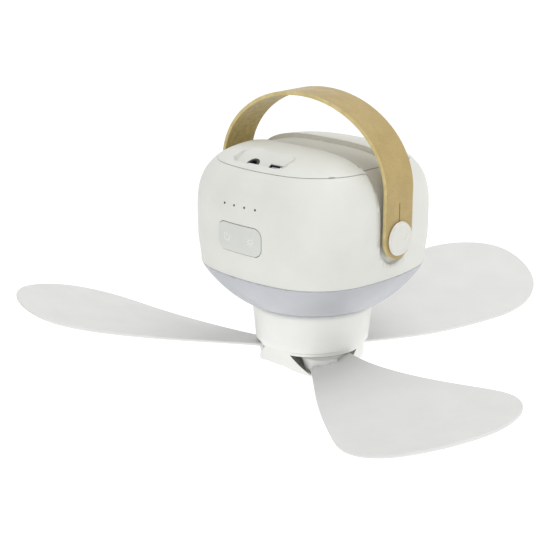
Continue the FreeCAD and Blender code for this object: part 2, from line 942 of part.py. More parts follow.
def make_top_cover():
    """The crowned cover over the seam, with the port recess and four screw bosses."""
    skin = cut("cover_skin", shaped("cover_outside", grooved_form(0)),
               [shaped("cover_cavity", grooved_form(float(size.wall)))])
    top = size.belly_height + size.crown_rise + 5
    upper = common("cover_upper", [
        skin, slab("above_seam", size.seam_height + size.seam_gap / 2, top)])
    lower_wall = cut("lower_wall", slab("below_cover", size.floor_height,
                                        size.seam_height + size.seam_gap / 2),
                     [shaped("lower_inside", grooved_form(float(size.wall + size.seam_gap)))])
    inner = cut("cover_inner", shaped("cover_reach", grooved_form(float(size.wall) / 2)),
                [lower_wall])
    parts = [upper, common("recess_tray", [
        recess_prism("tray_outside", size.recess_wall, size.recess_wall), inner])]
    bosses = []
    for index, (x, y) in enumerate(post_places()):
        bosses.append(drum(f"cover_boss_{index}", size.post_radius, top - size.post_top,
                           (x, y, size.post_top)))
    parts.append(common("cover_bosses", [fuse("boss_rods", bosses), inner]))
    tools = [recess_prism("recess_space", ZERO, ZERO)]
    for index, (x, y) in enumerate(post_places()):
        tools.append(drum(f"boss_hole_{index}", size.housing_screw + size.thread_play,
                          size.housing_screw_long - 6, (x, y, size.post_top)))
    deep = size.recess_wall * 10
    jack = drum("jack_hole", size.jack_radius + size.port_play, deep, (0, 0, -deep / 2))
    usb = block("usb_hole", (size.usb_mouth_wide + 2 * size.usb_skin + 2 * size.port_play,
                             size.usb_mouth_high + 2 * size.usb_skin + 2 * size.port_play,
                             deep), (ZERO, ZERO), -deep / 2)
    tools.append(port_hole("jack_way", jack, size.jack_across))
    tools.append(port_hole("usb_way", usb, size.usb_across))
    node("top_cover", cut("top_cover", fuse("cover_solid", parts), tools))


def port_hole(name, item, across):
    """A hole tool laid square to the recess floor."""
    holder = group(name, [item])
    holder.Placement = port_frame(across, size.jack_along)
    return holder


def make_ports():
    """The round charging inlet, the power outlet and the small board that carries both."""
    jack = turned("jack_turn", [
        (0, -size.jack_long), (size.jack_radius, -size.jack_long), (size.jack_radius, 0),
        (size.jack_bore, 0), (size.jack_bore, -size.jack_deep),
        (size.jack_pin, -size.jack_deep), (size.jack_pin, -size.jack_pin_set),
        (0, -size.jack_pin_set)])
    node("dc_jack", tilted(group("dc_jack", [jack]), size.jack_across, size.jack_along))
    outer = block("usb_outer", (size.usb_mouth_wide + 2 * size.usb_skin,
                                size.usb_mouth_high + 2 * size.usb_skin, size.usb_long),
                  (ZERO, ZERO), -size.usb_long)
    mouth = block("usb_mouth", (size.usb_mouth_wide, size.usb_mouth_high, size.usb_long),
                  (ZERO, ZERO), size.usb_floor - size.usb_long)
    tongue = block("usb_tongue", (size.usb_mouth_wide - 2 * size.usb_tongue_side,
                                  size.usb_tongue, size.usb_long - 2 * size.usb_tongue_set),
                   (ZERO, size.usb_tongue_lift), size.usb_tongue_set - size.usb_long)
    shell = cut("usb_shell", outer, [mouth])
    node("usb_port", tilted(group("usb_port", [fuse("usb_whole", [shell, tongue])]),
                            size.usb_across, size.jack_along))
    carrier = board("port_board_pad", rectangle(size.port_board_wide, size.port_board_deep),
                    -size.usb_long - size.board_thick,
                    size.board_thick)
    node("port_board", tilted(group("port_board", [carrier]), ZERO, size.jack_along))


# Light


def diffuser_form(inset, share=1.0):
    """The light's bowl: a rounded square above that turns into a circle below."""
    power = 2 / float(size.light_power)
    top = float(size.light_line_half)
    bottom = float(size.light_bottom_half)
    depth = float(size.light_depth)
    reach = float(size.corner_reach)
    cut_level = float(size.light_cut) - inset * share
    last = (cut_level / depth) ** (1 / power)
    wires = []
    count = 7
    for step in range(count + 1):
        rise = last * sin(pi / 2 * step / count)
        level = depth * rise ** power
        half = bottom + (top - bottom) * (1 - rise ** 2) ** (power / 2)
        grown = 1 + (reach - 1) * (1 - level / depth)
        wires.append(rounded_square(half - inset, grown, -level))
    return Part.makeLoft(wires, True, False)


def square_ring(outer, inner, level, high):
    """An upright rounded-square ring between two half widths."""
    reach = float(size.corner_reach)
    rim, hole = [Part.Face(rounded_square(half, reach, level)) for half in (outer, inner)]
    return rim.cut(hole).extrude(V(0, 0, high))


def make_diffuser():
    """The frosted bowl with its collar inside the housing and an opening for the neck."""
    wall = float(size.light_wall)
    bowl = cut("bowl", shaped("bowl_outside", diffuser_form(0)),
               [shaped("bowl_inside", diffuser_form(wall))])
    outer = float(size.light_line_half - size.wall - size.collar_play)
    high = float(size.collar_high)
    collar = shaped("collar", square_ring(outer, outer - wall, 0.0, high))
    lip = shaped("collar_lip", square_ring(outer + wall, outer - wall, -wall, wall))
    opening = drum("bowl_opening", size.neck_tube + size.neck_play, 2 * OVERRUN,
                   (0, 0, -size.light_cut - OVERRUN))
    whole = fuse("bowl_whole", [bowl, collar, lip])
    node("light_diffuser", cut("light_diffuser", whole, [opening]))
    node("diffuser_ring", ring("diffuser_ring", size.neck_tube + size.neck_play / 2,
                               size.ring_radius,
                               -size.ring_low, -size.light_cut))


def make_light_board():
    """The ring-shaped circuit board under the floor and its light-emitting chips."""
    high = size.floor_height - size.seat_gap
    low = high - size.led_board_thick
    node("led_board", ring("led_board", size.led_board_inner, size.led_board_outer,
                           low, high))
    middle = (size.led_board_inner + size.led_board_outer) / 2
    chips = []
    for index, (_, x, y) in enumerate(around(size.led_count, middle)):
        chips.append(block(f"chip_{index}", (size.led_side, size.led_side, size.led_high),
                           (x, y), low - size.led_high))
    node("led_chips", group("led_chips", chips))


# Neck and motor


def make_neck():
    """The white neck that hangs from the floor and holds the motor."""
    bottom = -size.neck_bottom
    floor = bottom + size.neck_wall
    shelf = -size.neck_top - size.neck_wall
    flange_top = size.floor_height - size.seat_gap
    flange_low = flange_top - size.neck_flange_thick
    inner = size.neck_tube - size.neck_wall
    body = turned("neck_turn", [
        (size.bearing_radius + size.bearing_lip, bottom),
        (size.neck_bottom_radius - size.neck_edge, bottom),
        (size.neck_bottom_radius, bottom + size.neck_edge),
        (size.neck_top_radius, -size.neck_top),
        (size.neck_tube, -size.neck_top),
        (size.neck_tube, flange_low), (size.neck_flange, flange_low),
        (size.neck_flange, flange_top), (inner, flange_top),
        (inner, shelf), (size.neck_top_radius - size.neck_wall, shelf),
        (size.neck_bottom_radius - size.neck_wall, floor),
        (size.bearing_radius + size.bearing_lip, floor)])
    holes = [drum(f"neck_hole_{index}", size.neck_screw + size.screw_play, 8,
                  (x, y, flange_low - 2))
             for index, (_, x, y) in enumerate(neck_screw_places())]
    holes += [drum(f"bracket_hole_{index}", 1.3, 4, (x, y, bottom + 0.8))
              for index, (_, x, y) in enumerate(bracket_screw_places())]
    node("motor_neck", cut("motor_neck", body, holes))


def neck_screw_places():
    """Four screws through the neck's flange."""
    return around(4, (size.neck_tube + size.neck_flange) / 2, 45.0)


def bracket_screw_places():
    """Three screws through the motor bracket."""
    return around(3, size.bracket_radius - size.bracket_screw_in, 30.0)


def make_motor():
    """The outrunner motor: bracket, bearings, stator, coils, magnets, can and shaft."""
    floor = -size.neck_bottom + size.neck_wall
    plate_top = floor + size.bracket_thick
    bore = size.bearing_radius + 0.02
    tube = size.bearing_radius + size.bracket_tube_wall
    tube_top = -size.bracket_tube_top
    bracket = turned("bracket_turn", [
        (size.bearing_radius - 1.5, floor), (size.bracket_radius, floor),
        (size.bracket_radius, plate_top), (tube, plate_top), (tube, tube_top),
        (bore, tube_top), (bore, floor + 0.8), (size.bearing_radius - 1.5, floor + 0.8)])
    holes = [drum(f"bracket_way_{index}", 1.35, 6, (x, y, floor - 1))
             for index, (_, x, y) in enumerate(bracket_screw_places())]
    node("motor_bracket", cut("motor_bracket", bracket, holes))
    levels = (floor + 0.85, tube_top - size.bearing_high)
    races = []
    for index, level in enumerate(levels):
        high = level + size.bearing_high
        races.append(ring(f"bearing_{index}", size.shaft_radius + 0.02,
                          size.bearing_radius, level, high))
    node("bearings", group("bearings", races))
    make_stator(tube)
    make_rotor_can()
    screws = []
    for index, (_, x, y) in enumerate(bracket_screw_places()):
        screws.append(fuse(f"bracket_screw_{index}", [
            drum(f"bracket_screw_head_{index}", size.bracket_screw_head,
                 size.neck_screw_cap, (x, y, plate_top)),
            drum(f"bracket_screw_shank_{index}", size.bracket_screw,
                 size.bracket_thick + size.bracket_screw_bite,
                 (x, y, plate_top - size.bracket_thick - size.bracket_screw_bite))]))
    node("bracket_screws", group("bracket_screws", screws))
    screws = []
    top = size.floor_height - size.seat_gap - size.neck_flange_thick
    reach = size.floor_height + size.floor_thick - size.seat_gap - top
    for index, (_, x, y) in enumerate(neck_screw_places()):
        screws.append(fuse(f"neck_screw_{index}", [
            drum(f"neck_screw_head_{index}", size.neck_screw_head, size.neck_screw_cap,
                 (x, y, top - size.neck_screw_cap)),
            drum(f"neck_screw_shank_{index}", size.neck_screw, reach + size.head_bite,
                 (x, y, top - size.head_bite))]))
    node("neck_screws", group("neck_screws", screws))


def make_stator(tube):
    """The laminated core with its wound teeth, pressed on the bracket's tube."""
    low = -size.stator_low
    high = -size.stator_high
    tall = high - low
    yoke = tube + size.stator_yoke
    tips = size.stator_radius
    core = [ring("stator_yoke_ring", tube + 0.02, yoke, low, high)]
    shoes = ring("stator_shoe_ring", tips - size.tooth_shoe, tips, low, high)
    gaps = []
    coils = []
    count = int(float(size.tooth_count))
    for index in range(count):
        angle = 360.0 * index / count
        tooth = block(f"tooth_{index}", (tips - tube - 0.8, size.tooth_width, tall),
                      ((tips + tube) / 2, ZERO), low)
        core.append(spun(f"tooth_at_{index}", tooth, angle))
        gap = block(f"shoe_gap_{index}", (8, 2.4, tall + 2), (tips, ZERO), low - 1)
        gaps.append(spun(f"shoe_gap_at_{index}", gap, angle + 180.0 / count))
        coils.append(spun(f"coil_at_{index}", coil(index, yoke, low, high), angle))
    core.append(cut("stator_shoes", shoes, gaps))
    node("stator_core", fuse("stator_core", core))
    node("stator_coils", group("stator_coils", coils))


def coil(index, yoke, low, high):
    """One coil as a square loop of winding around a tooth."""
    start = yoke + 0.3
    long = size.stator_radius - size.tooth_shoe - 0.3 - start
    wide = size.tooth_width + 0.2
    outer = block(f"coil_outer_{index}", (
        long, wide + 2 * size.coil_thick, high - low + 0.2 + 2 * size.coil_thick),
        (start + long / 2, ZERO), low - 0.1 - size.coil_thick)
    inner = block(f"coil_inner_{index}", (long + 2, wide, high - low + 0.2),
                  (start + long / 2, ZERO), low - 0.1)
    return cut(f"coil_{index}", outer, [inner])


def spun(name, item, angle):
    """Turn a piece about the vertical axis."""
    holder = group(name, [item])
    holder.Placement = FreeCAD.Placement(V(), FreeCAD.Rotation(UP, angle))
    return holder


def make_rotor_can():
    """The turning can with its magnets, on the shaft that carries the blades."""
    gap = size.stator_radius + size.air_gap
    inner = gap + size.magnet_thick
    outer = inner + size.can_wall
    top = -size.can_top
    low = -size.can_low
    node("motor_can", turned("motor_can", [
        (size.shaft_radius, top - size.can_hub_long),
        (size.can_hub, top - size.can_hub_long), (size.can_hub, top - size.can_wall),
        (inner, top - size.can_wall), (inner, low), (outer, low), (outer, top),
        (size.shaft_radius, top)]))
    magnets = ring("magnet_ring", gap, inner, -size.stator_low - 0.5, -size.stator_high + 0.5)
    splits = []
    count = int(float(size.magnet_count))
    for index in range(count):
        split = block(f"magnet_split_{index}", (8, 0.8, 30), (gap + 1, ZERO),
                      -size.stator_low - 5)
        splits.append(spun(f"magnet_split_at_{index}", split, 360.0 * index / count))
    node("rotor_magnets", cut("rotor_magnets", magnets, splits))
    bottom = -size.lobe_low + size.shaft_set
    end = top + size.shaft_rise
    slim = size.shaft_radius - size.shaft_edge
    node("motor_shaft", turned("motor_shaft", [
        (0, bottom), (slim, bottom), (size.shaft_radius, bottom + size.shaft_edge),
        (size.shaft_radius, end - size.shaft_edge), (slim, end), (0, end)]))
    clip_low = top + size.seat_gap
    node("shaft_clip", ring("shaft_clip", size.shaft_radius + size.press_play,
                            size.shaft_radius + size.clip_wide, clip_low,
                            clip_low + size.clip_thick))


# Rotor


def rotor_top():
    """Level of the carrier's top face, just under the neck."""
    return -size.neck_bottom - size.running_gap


def pin_places():
    """The three blade pins, with their angles in degrees."""
    return around(3, size.pin_circle, float(size.pin_azimuth))


def pockets(tag):
    """Three flared spaces around the pins in which the blade roots swing."""
    low = -size.lobe_low + size.cap_floor
    high = rotor_top() - size.carrier_web
    tall = high - low
    top_radius = size.pocket_radius + tall * size.pocket_flare
    cones = []
    for index, (_, x, y) in enumerate(pin_places()):
        cones.append(cone(f"pocket_{tag}_{index}", size.pocket_radius, top_radius, tall,
                          (x, y, low)))
    hub = drum(f"pocket_hub_{tag}", size.rotor_hub, 40, (0, 0, -size.lobe_low - 5))
    return cut(f"pockets_{tag}", fuse(f"pocket_cones_{tag}", cones), [hub])


def cap_screw_places():
    """Three screws midway between the pins."""
    return around(3, size.cap_screw_circle, float(size.pin_azimuth) + 60.0)


def make_rotor():
    """The carrier above and the lobed cap below that hold the blades between them."""
    top = rotor_top()
    joint = top - size.carrier_thick
    disc = drum("carrier_disc", size.rotor_radius, size.carrier_thick, (0, 0, joint))
    tools = [pockets("above"), drum("carrier_bore", size.shaft_radius, 20, (0, 0, joint - 5))]
    tools += [drum(f"carrier_pin_hole_{index}", size.pin_radius, 20, (x, y, joint - 5))
              for index, (_, x, y) in enumerate(pin_places())]
    tools += [drum(f"carrier_screw_hole_{index}", size.cap_screw + 0.05, 3.2, (x, y, joint))
              for index, (_, x, y) in enumerate(cap_screw_places())]
    node("blade_carrier", cut("blade_carrier", disc, tools))

    low = -size.cap_low
    lobes = [cone(f"lobe_{index}", size.lobe_bottom_radius, size.lobe_top_radius,
                  size.lobe_low - size.cap_low, (x, y, -size.lobe_low))
             for index, (_, x, y) in enumerate(pin_places())]
    drum_whole = drum("cap_limit", size.rotor_radius, 30, (0, 0, joint - 30))
    lobed = common("cap_lobes", [fuse("lobes", lobes), drum_whole])
    base = drum("cap_base", size.rotor_radius, joint - low, (0, 0, low))
    tools = [pockets("below"), drum("cap_bore", size.shaft_radius, 30, (0, 0, low - 15)),
             drum("nut_space", size.nut_recess, 10, (0, 0, low + 0.5 - 10))]
    tools += [drum(f"cap_pin_hole_{index}", size.pin_radius, 1.5, (x, y, pin_bottom()))
              for index, (_, x, y) in enumerate(pin_places())]
    for index, (_, x, y) in enumerate(cap_screw_places()):
        tools.append(drum(f"cap_screw_hole_{index}", size.cap_screw + 0.1, 20,
                          (x, y, low - 5)))
        tools.append(drum(f"cap_screw_seat_{index}", size.cap_screw_head + 0.2, 5 + 1.6,
                          (x, y, low - 5)))
    node("rotor_cap", cut("rotor_cap", fuse("cap_solid", [base, lobed]), tools))
    make_rotor_hardware(joint, low)


def pin_bottom():
    """Level of the lower ends of the blade pins, inside the cap's floor."""
    return -size.lobe_low + size.pin_set


def make_rotor_hardware(joint, low):
    """Blade pins, cap screws and the nut on the end of the shaft."""
    top = rotor_top() - size.pin_short
    pins = [drum(f"pin_{index}", size.pin_radius, top - pin_bottom(), (x, y, pin_bottom()))
            for index, (_, x, y) in enumerate(pin_places())]
    node("blade_pins", group("blade_pins", pins))
    screws = []
    for index, (_, x, y) in enumerate(cap_screw_places()):
        screws.append(fuse(f"cap_screw_{index}", [
            drum(f"cap_screw_head_{index}", size.cap_screw_head, size.cap_screw_cap,
                 (x, y, low + size.seat_gap)),
            drum(f"cap_screw_shank_{index}", size.cap_screw, size.cap_screw_long,
                 (x, y, low + size.cap_screw_bite))]))
    node("cap_screws", group("cap_screws", screws))
    nut = board("shaft_nut_pad", hexagon(size.shaft_nut_half),
                low + size.nut_sink - size.nut_high, size.nut_high,
                [(size.shaft_radius + size.press_play, 0, 0)])
    node("shaft_nut", nut)


# Blades


def blade_point(name):
    """A named point of the blade's outline, measured from the pin."""
    offset = blade_pin()
    station = float(getattr(size, f"{name}_station"))
    if name in TIP_EDGES:
        station = float(size.blade_length) - station
    edge = float(getattr(size, f"{name}_edge"))
    return V(station - offset.x, edge - offset.y, 0)


def blade_pin():
    """The pin's place in the blade's own frame, whose X axis runs along the blade."""
    shift = float(size.blade_shift)
    return V(sqrt(float(size.pin_circle) ** 2 - shift ** 2), -shift, 0)


def blade_section(station):
    """A slanted strip across the blade at a station, square to its length."""
    pin = blade_pin()
    start = float(size.blade_rise_start)
    share = max(0.0, (station - start) / (float(size.blade_length) - start))
    level = (float(size.blade_root_level)
             + float(size.blade_rise) * share ** float(size.blade_rise_power))
    fade = exp(-(station - float(size.pitch_start)) / float(size.pitch_fade))
    slope = float(size.pitch_tip) + float(size.pitch_root) * fade
    half = float(size.blade_thick) / 2
    side = float(size.strip_half)
    corners = []
    for y, z in ((-side, -half), (side, -half), (side, half), (-side, half)):
        corners.append(V(station - pin.x, y - pin.y, level + slope * y + z))
    return Part.makePolygon(corners + corners[:1])


def blade_plate():
    """The twisted, upswept plate, trimmed to the blade's outline and rounded at its rim."""
    start = float(size.strip_start)
    reach = float(size.blade_length) + OVERRUN
    stations = [start + (reach - start) * step / 7 for step in range(8)]
    strip = Part.makeLoft([blade_section(station) for station in stations], True, False)
    points = [blade_point(name) for name in BLADE_OUTLINE]
    edge = Part.BSplineCurve()
    edge.interpolate(points)
    close = Part.makeLine(points[-1], points[0])
    outline = Part.Face(Part.Wire([edge.toShape(), close]))
    outline.translate(V(0, 0, -100))
    plate = strip.common(outline.extrude(V(0, 0, 100)))
    plate = plate.Solids[0]
    rims = [item for item in plate.Edges if item.Length > float(size.blade_length)]
    return plate.makeFillet(float(size.blade_rim), rims)


def blade_shape():
    """The plate with its flared barrel, bored for the pin, standing at the pin."""
    top = float(rotor_top() - size.carrier_web - size.barrel_play)
    low = float(-size.lobe_low + size.cap_floor + size.barrel_play)
    barrel = Part.makeCone(float(size.barrel_low_radius), float(size.barrel_top_radius),
                           top - low, V(0, 0, low))
    bore = Part.makeCylinder(float(size.pin_radius + size.pin_play), 60, V(0, 0, low - 20))
    return barrel.fuse(blade_plate()).cut(bore)


# how far each blade is swung from straight out, in degrees
BLADE_SWINGS = (7.0, -5.0, -1.9)


def make_blades():
    """Three identical blades on their pins, each swung a little as it happens to hang."""
    shape = blade_shape()
    hook = float(size.arch_centre + arch_inner_rise())
    for index, (angle, x, y) in enumerate(pin_places()):
        item = shaped(f"blade_{index + 1}", shape)
        item.Placement = FreeCAD.Placement(
            V(float(x), float(y), -hook), FreeCAD.Rotation(UP, angle + BLADE_SWINGS[index]))
        item.Label = f"blade_{index + 1}"
        NODES.append(item)


# Power


def cell_places():
    """Places along Y of the round cells, which lie side by side."""
    middle = (float(size.cell_count) - 1) / 2
    for index in range(int(float(size.cell_count))):
        yield size.cell_pitch * (index - middle)


def make_power():
    """Four round cells in a moulded holder, with the main circuit board on top."""
    cells = [drum(f"cell_{index}", size.cell_radius, size.cell_length,
                  (-size.cell_length / 2, y, size.cell_level), "right")
             for index, y in enumerate(cell_places())]
    node("battery_cells", group("battery_cells", cells))
    base = size.holder_base
    wide = size.cell_pitch * (size.cell_count - 1) + 2 * size.cell_radius + size.holder_rim
    inner = size.cell_length + 2 * size.cell_play
    tray = block("holder_floor", (inner + 2 * size.holder_wall, wide,
                                  size.cell_level - base), (ZERO, ZERO), base)
    parts = [tray]
    for side in (-1, 1):
        parts.append(block(f"holder_end_{side + 1}", (
            size.holder_wall, wide, size.holder_top - base),
            (side * (inner + size.holder_wall) / 2, ZERO), base))
    beds = [drum(f"cell_bed_{index}", size.cell_radius + 0.1, inner,
                 (-inner / 2, y, size.cell_level), "right")
            for index, y in enumerate(cell_places())]
    node("battery_holder", cut("battery_holder", fuse("holder_solid", parts), beds))
    node("main_board", board("main_board", rectangle(
        size.main_board_long, size.main_board_wide), size.holder_top, size.board_thick))
    screws = []
    for index, (x, y) in enumerate(post_places()):
        head = drum(f"screw_head_{index}", size.housing_screw_head, size.housing_screw_cap,
                    (x, y, size.housing_screw_seat - size.housing_screw_cap))
        shank = drum(f"screw_shank_{index}", size.housing_screw, size.housing_screw_long,
                     (x, y, size.housing_screw_seat - size.head_bite))
        screws.append(fuse(f"housing_screw_{index}", [head, shank]))
    node("housing_screws", group("housing_screws", screws))


# Keys


def make_key_pad():
    """The rocking key pad that follows the housing's curve, with axle and two plungers."""
    front = size.housing_half + 5
    prism = pad_prism("pad_prism", ZERO, front, size.housing_half - 6)
    skin = cut("pad_skin", shaped("pad_face", housing_form(-float(size.pad_proud))),
               [shaped("pad_back", housing_form(float(size.pad_thick - size.pad_proud)))])
    plate = common("pad_plate", [prism, skin])
    axle_long = size.pad_high + 2 * size.pad_play + 5.6
    along = pad_axle_along()
    back = size.housing_half + size.pad_proud - size.pad_thick
    axle = drum("pad_axle", size.pad_axle, axle_long,
                (0, -along, size.pad_level - axle_long / 2))
    web = block("pad_web", (2.0, back - along + 0.6, size.pad_high - 3),
                (ZERO, -(back + along) / 2 - 0.1), size.pad_level - (size.pad_high - 3) / 2)
    parts = [plate, axle, web]
    tip = switch_tip() + size.key_travel_gap
    for side in (-1, 1):
        parts.append(drum(f"plunger_{side + 1}", size.plunger_radius,
                          back + size.plunger_root - tip,
                          (side * size.plunger_across, -back - size.plunger_root,
                           size.pad_level), "back"))
    node("key_pad", fuse("key_pad", parts))


def switch_tip():
    """Distance of the switch stems' tips in front of the middle."""
    return size.key_board_back + size.switch_deep + size.switch_stem_long


def make_key_board():
    """The small upright board with two push switches and the indicator light pipes."""
    high = size.key_board_top - size.key_board_low
    node("key_board", block("key_board", (size.key_board_wide, size.board_thick, high),
                            (ZERO, -size.key_board_back + size.board_thick / 2),
                            size.key_board_low))
    switches = []
    for side in (-1, 1):
        across = side * size.plunger_across
        body = block(f"switch_body_{side + 1}", (
            size.switch_side, size.switch_deep, size.switch_side),
            (across, -size.key_board_back - size.switch_deep / 2),
            size.pad_level - size.switch_side / 2)
        stem = drum(f"switch_stem_{side + 1}", size.switch_stem, size.switch_stem_long + 0.5,
                    (across, -switch_tip(), size.pad_level), "back")
        switches.append(fuse(f"switch_{side + 1}", [body, stem]))
    node("key_switches", group("key_switches", switches))
    pipes = [drum(f"pipe_{index}", size.dot_radius,
                  size.housing_half + 2 - size.key_board_back,
                  (x, -size.housing_half - 2, size.dot_level), "back")
             for index, x in enumerate(dot_places())]
    limit = shaped("pipe_limit", housing_form(-0.1))
    lamps = [common(f"lamp_{index}", [pipe, limit]) for index, pipe in enumerate(pipes)]
    node("indicator_lights", group("indicator_lights", lamps))


def check_and_write():
    """Stop on any failed object, then write one file for each sub-part."""
    doc.recompute()
    for item in doc.Objects:
        if "Invalid" in item.State or "Error" in item.State:
            raise RuntimeError(f"{item.Label} failed: {item.State}")
    os.makedirs("parts", exist_ok=True)
    for item in NODES:
        if item.Shape.isNull() or not item.Shape.isValid():
            raise RuntimeError(f"{item.Label} has no valid shape")
    for item in NODES:
        item.Shape.exportStep(f"parts/{item.Label}.step")
        print(item.Label, len(item.Shape.Solids), round(item.Shape.Volume / 1000, 2), "cm3")


make_strap()
make_strap_buttons()
make_main_housing()
make_top_cover()
make_ports()
make_diffuser()
make_light_board()
make_neck()
make_motor()
make_rotor()
make_blades()
make_power()
make_key_pad()
make_key_board()
check_and_write()
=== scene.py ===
"""Looks, camera and light for a hanging camping fan with a ring light and a leather strap.

Sizes are in millimetres. Heights are measured from the light line, the edge between the
white housing and the light's bowl, as in the part's source. The frame's origin is the point
that rests on the hook, HOOK_HEIGHT above that line, and finished meshes are in metres.
"""
import json
import logging
import math
from collections.abc import Callable, Iterable
from dataclasses import dataclass
from enum import Enum

import bmesh
import bpy
from mathutils import Matrix, Vector

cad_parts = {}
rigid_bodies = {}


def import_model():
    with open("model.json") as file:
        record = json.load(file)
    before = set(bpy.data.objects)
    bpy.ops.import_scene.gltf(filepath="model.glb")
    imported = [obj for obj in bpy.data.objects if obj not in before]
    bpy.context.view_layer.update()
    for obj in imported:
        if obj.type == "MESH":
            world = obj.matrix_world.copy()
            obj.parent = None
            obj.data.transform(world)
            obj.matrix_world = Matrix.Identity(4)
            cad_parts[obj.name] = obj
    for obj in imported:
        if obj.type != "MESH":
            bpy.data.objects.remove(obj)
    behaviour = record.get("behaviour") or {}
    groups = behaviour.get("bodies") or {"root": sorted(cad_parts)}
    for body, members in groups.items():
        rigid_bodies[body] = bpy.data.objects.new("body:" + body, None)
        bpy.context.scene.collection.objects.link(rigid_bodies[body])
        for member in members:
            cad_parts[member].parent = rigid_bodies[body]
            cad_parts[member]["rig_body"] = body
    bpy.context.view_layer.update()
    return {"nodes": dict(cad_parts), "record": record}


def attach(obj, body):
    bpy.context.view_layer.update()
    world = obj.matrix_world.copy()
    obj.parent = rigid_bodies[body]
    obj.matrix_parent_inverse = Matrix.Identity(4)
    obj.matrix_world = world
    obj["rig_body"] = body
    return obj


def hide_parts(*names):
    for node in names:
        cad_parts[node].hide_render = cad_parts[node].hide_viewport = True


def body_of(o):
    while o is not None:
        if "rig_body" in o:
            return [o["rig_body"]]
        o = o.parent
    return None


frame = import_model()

HOOK_HEIGHT = 105.9
MM = 0.001
TOUCHING = 0.002 * MM
WHITE = (1.0, 1.0, 1.0, 1.0)

# the curve between the light that screens show and the number they store for it
STRAIGHT_END = 0.04045
STRAIGHT_SLOPE = 12.92
CURVE_SHIFT = 0.055
CURVE_POWER = 2.4

# sockets of the mix node that blend colours
MIX_FIRST = 6
MIX_SECOND = 7
MIX_RESULT = 2

# octaves of finer noise in a cloudy pattern
SMOOTH = 1.0
COARSE = 2.0
MEDIUM = 4.0
FINE = 5.0
VERY_FINE = 6.0

log = logging.getLogger("camping_fan")

Colour = tuple[float, float, float]


def at(x: float, y: float, z: float) -> Vector:
    """Turn millimetres from the light line into a point of the frame in metres."""
    return Vector((x, y, z - HOOK_HEIGHT)) * MM


def tone(red: int, green: int, blue: int) -> Colour:
    """Turn a screen colour from 0 to 255 into the linear colour that shaders take.

    Args:
        red: Red share.
        green: Green share.
        blue: Blue share.

    Returns:
        The three linear shares, each from 0 to 1.
    """
    shares = [value / 255 for value in (red, green, blue)]
    return tuple(share / STRAIGHT_SLOPE if share <= STRAIGHT_END
                 else ((share + CURVE_SHIFT) / (1 + CURVE_SHIFT)) ** CURVE_POWER
                 for share in shares)


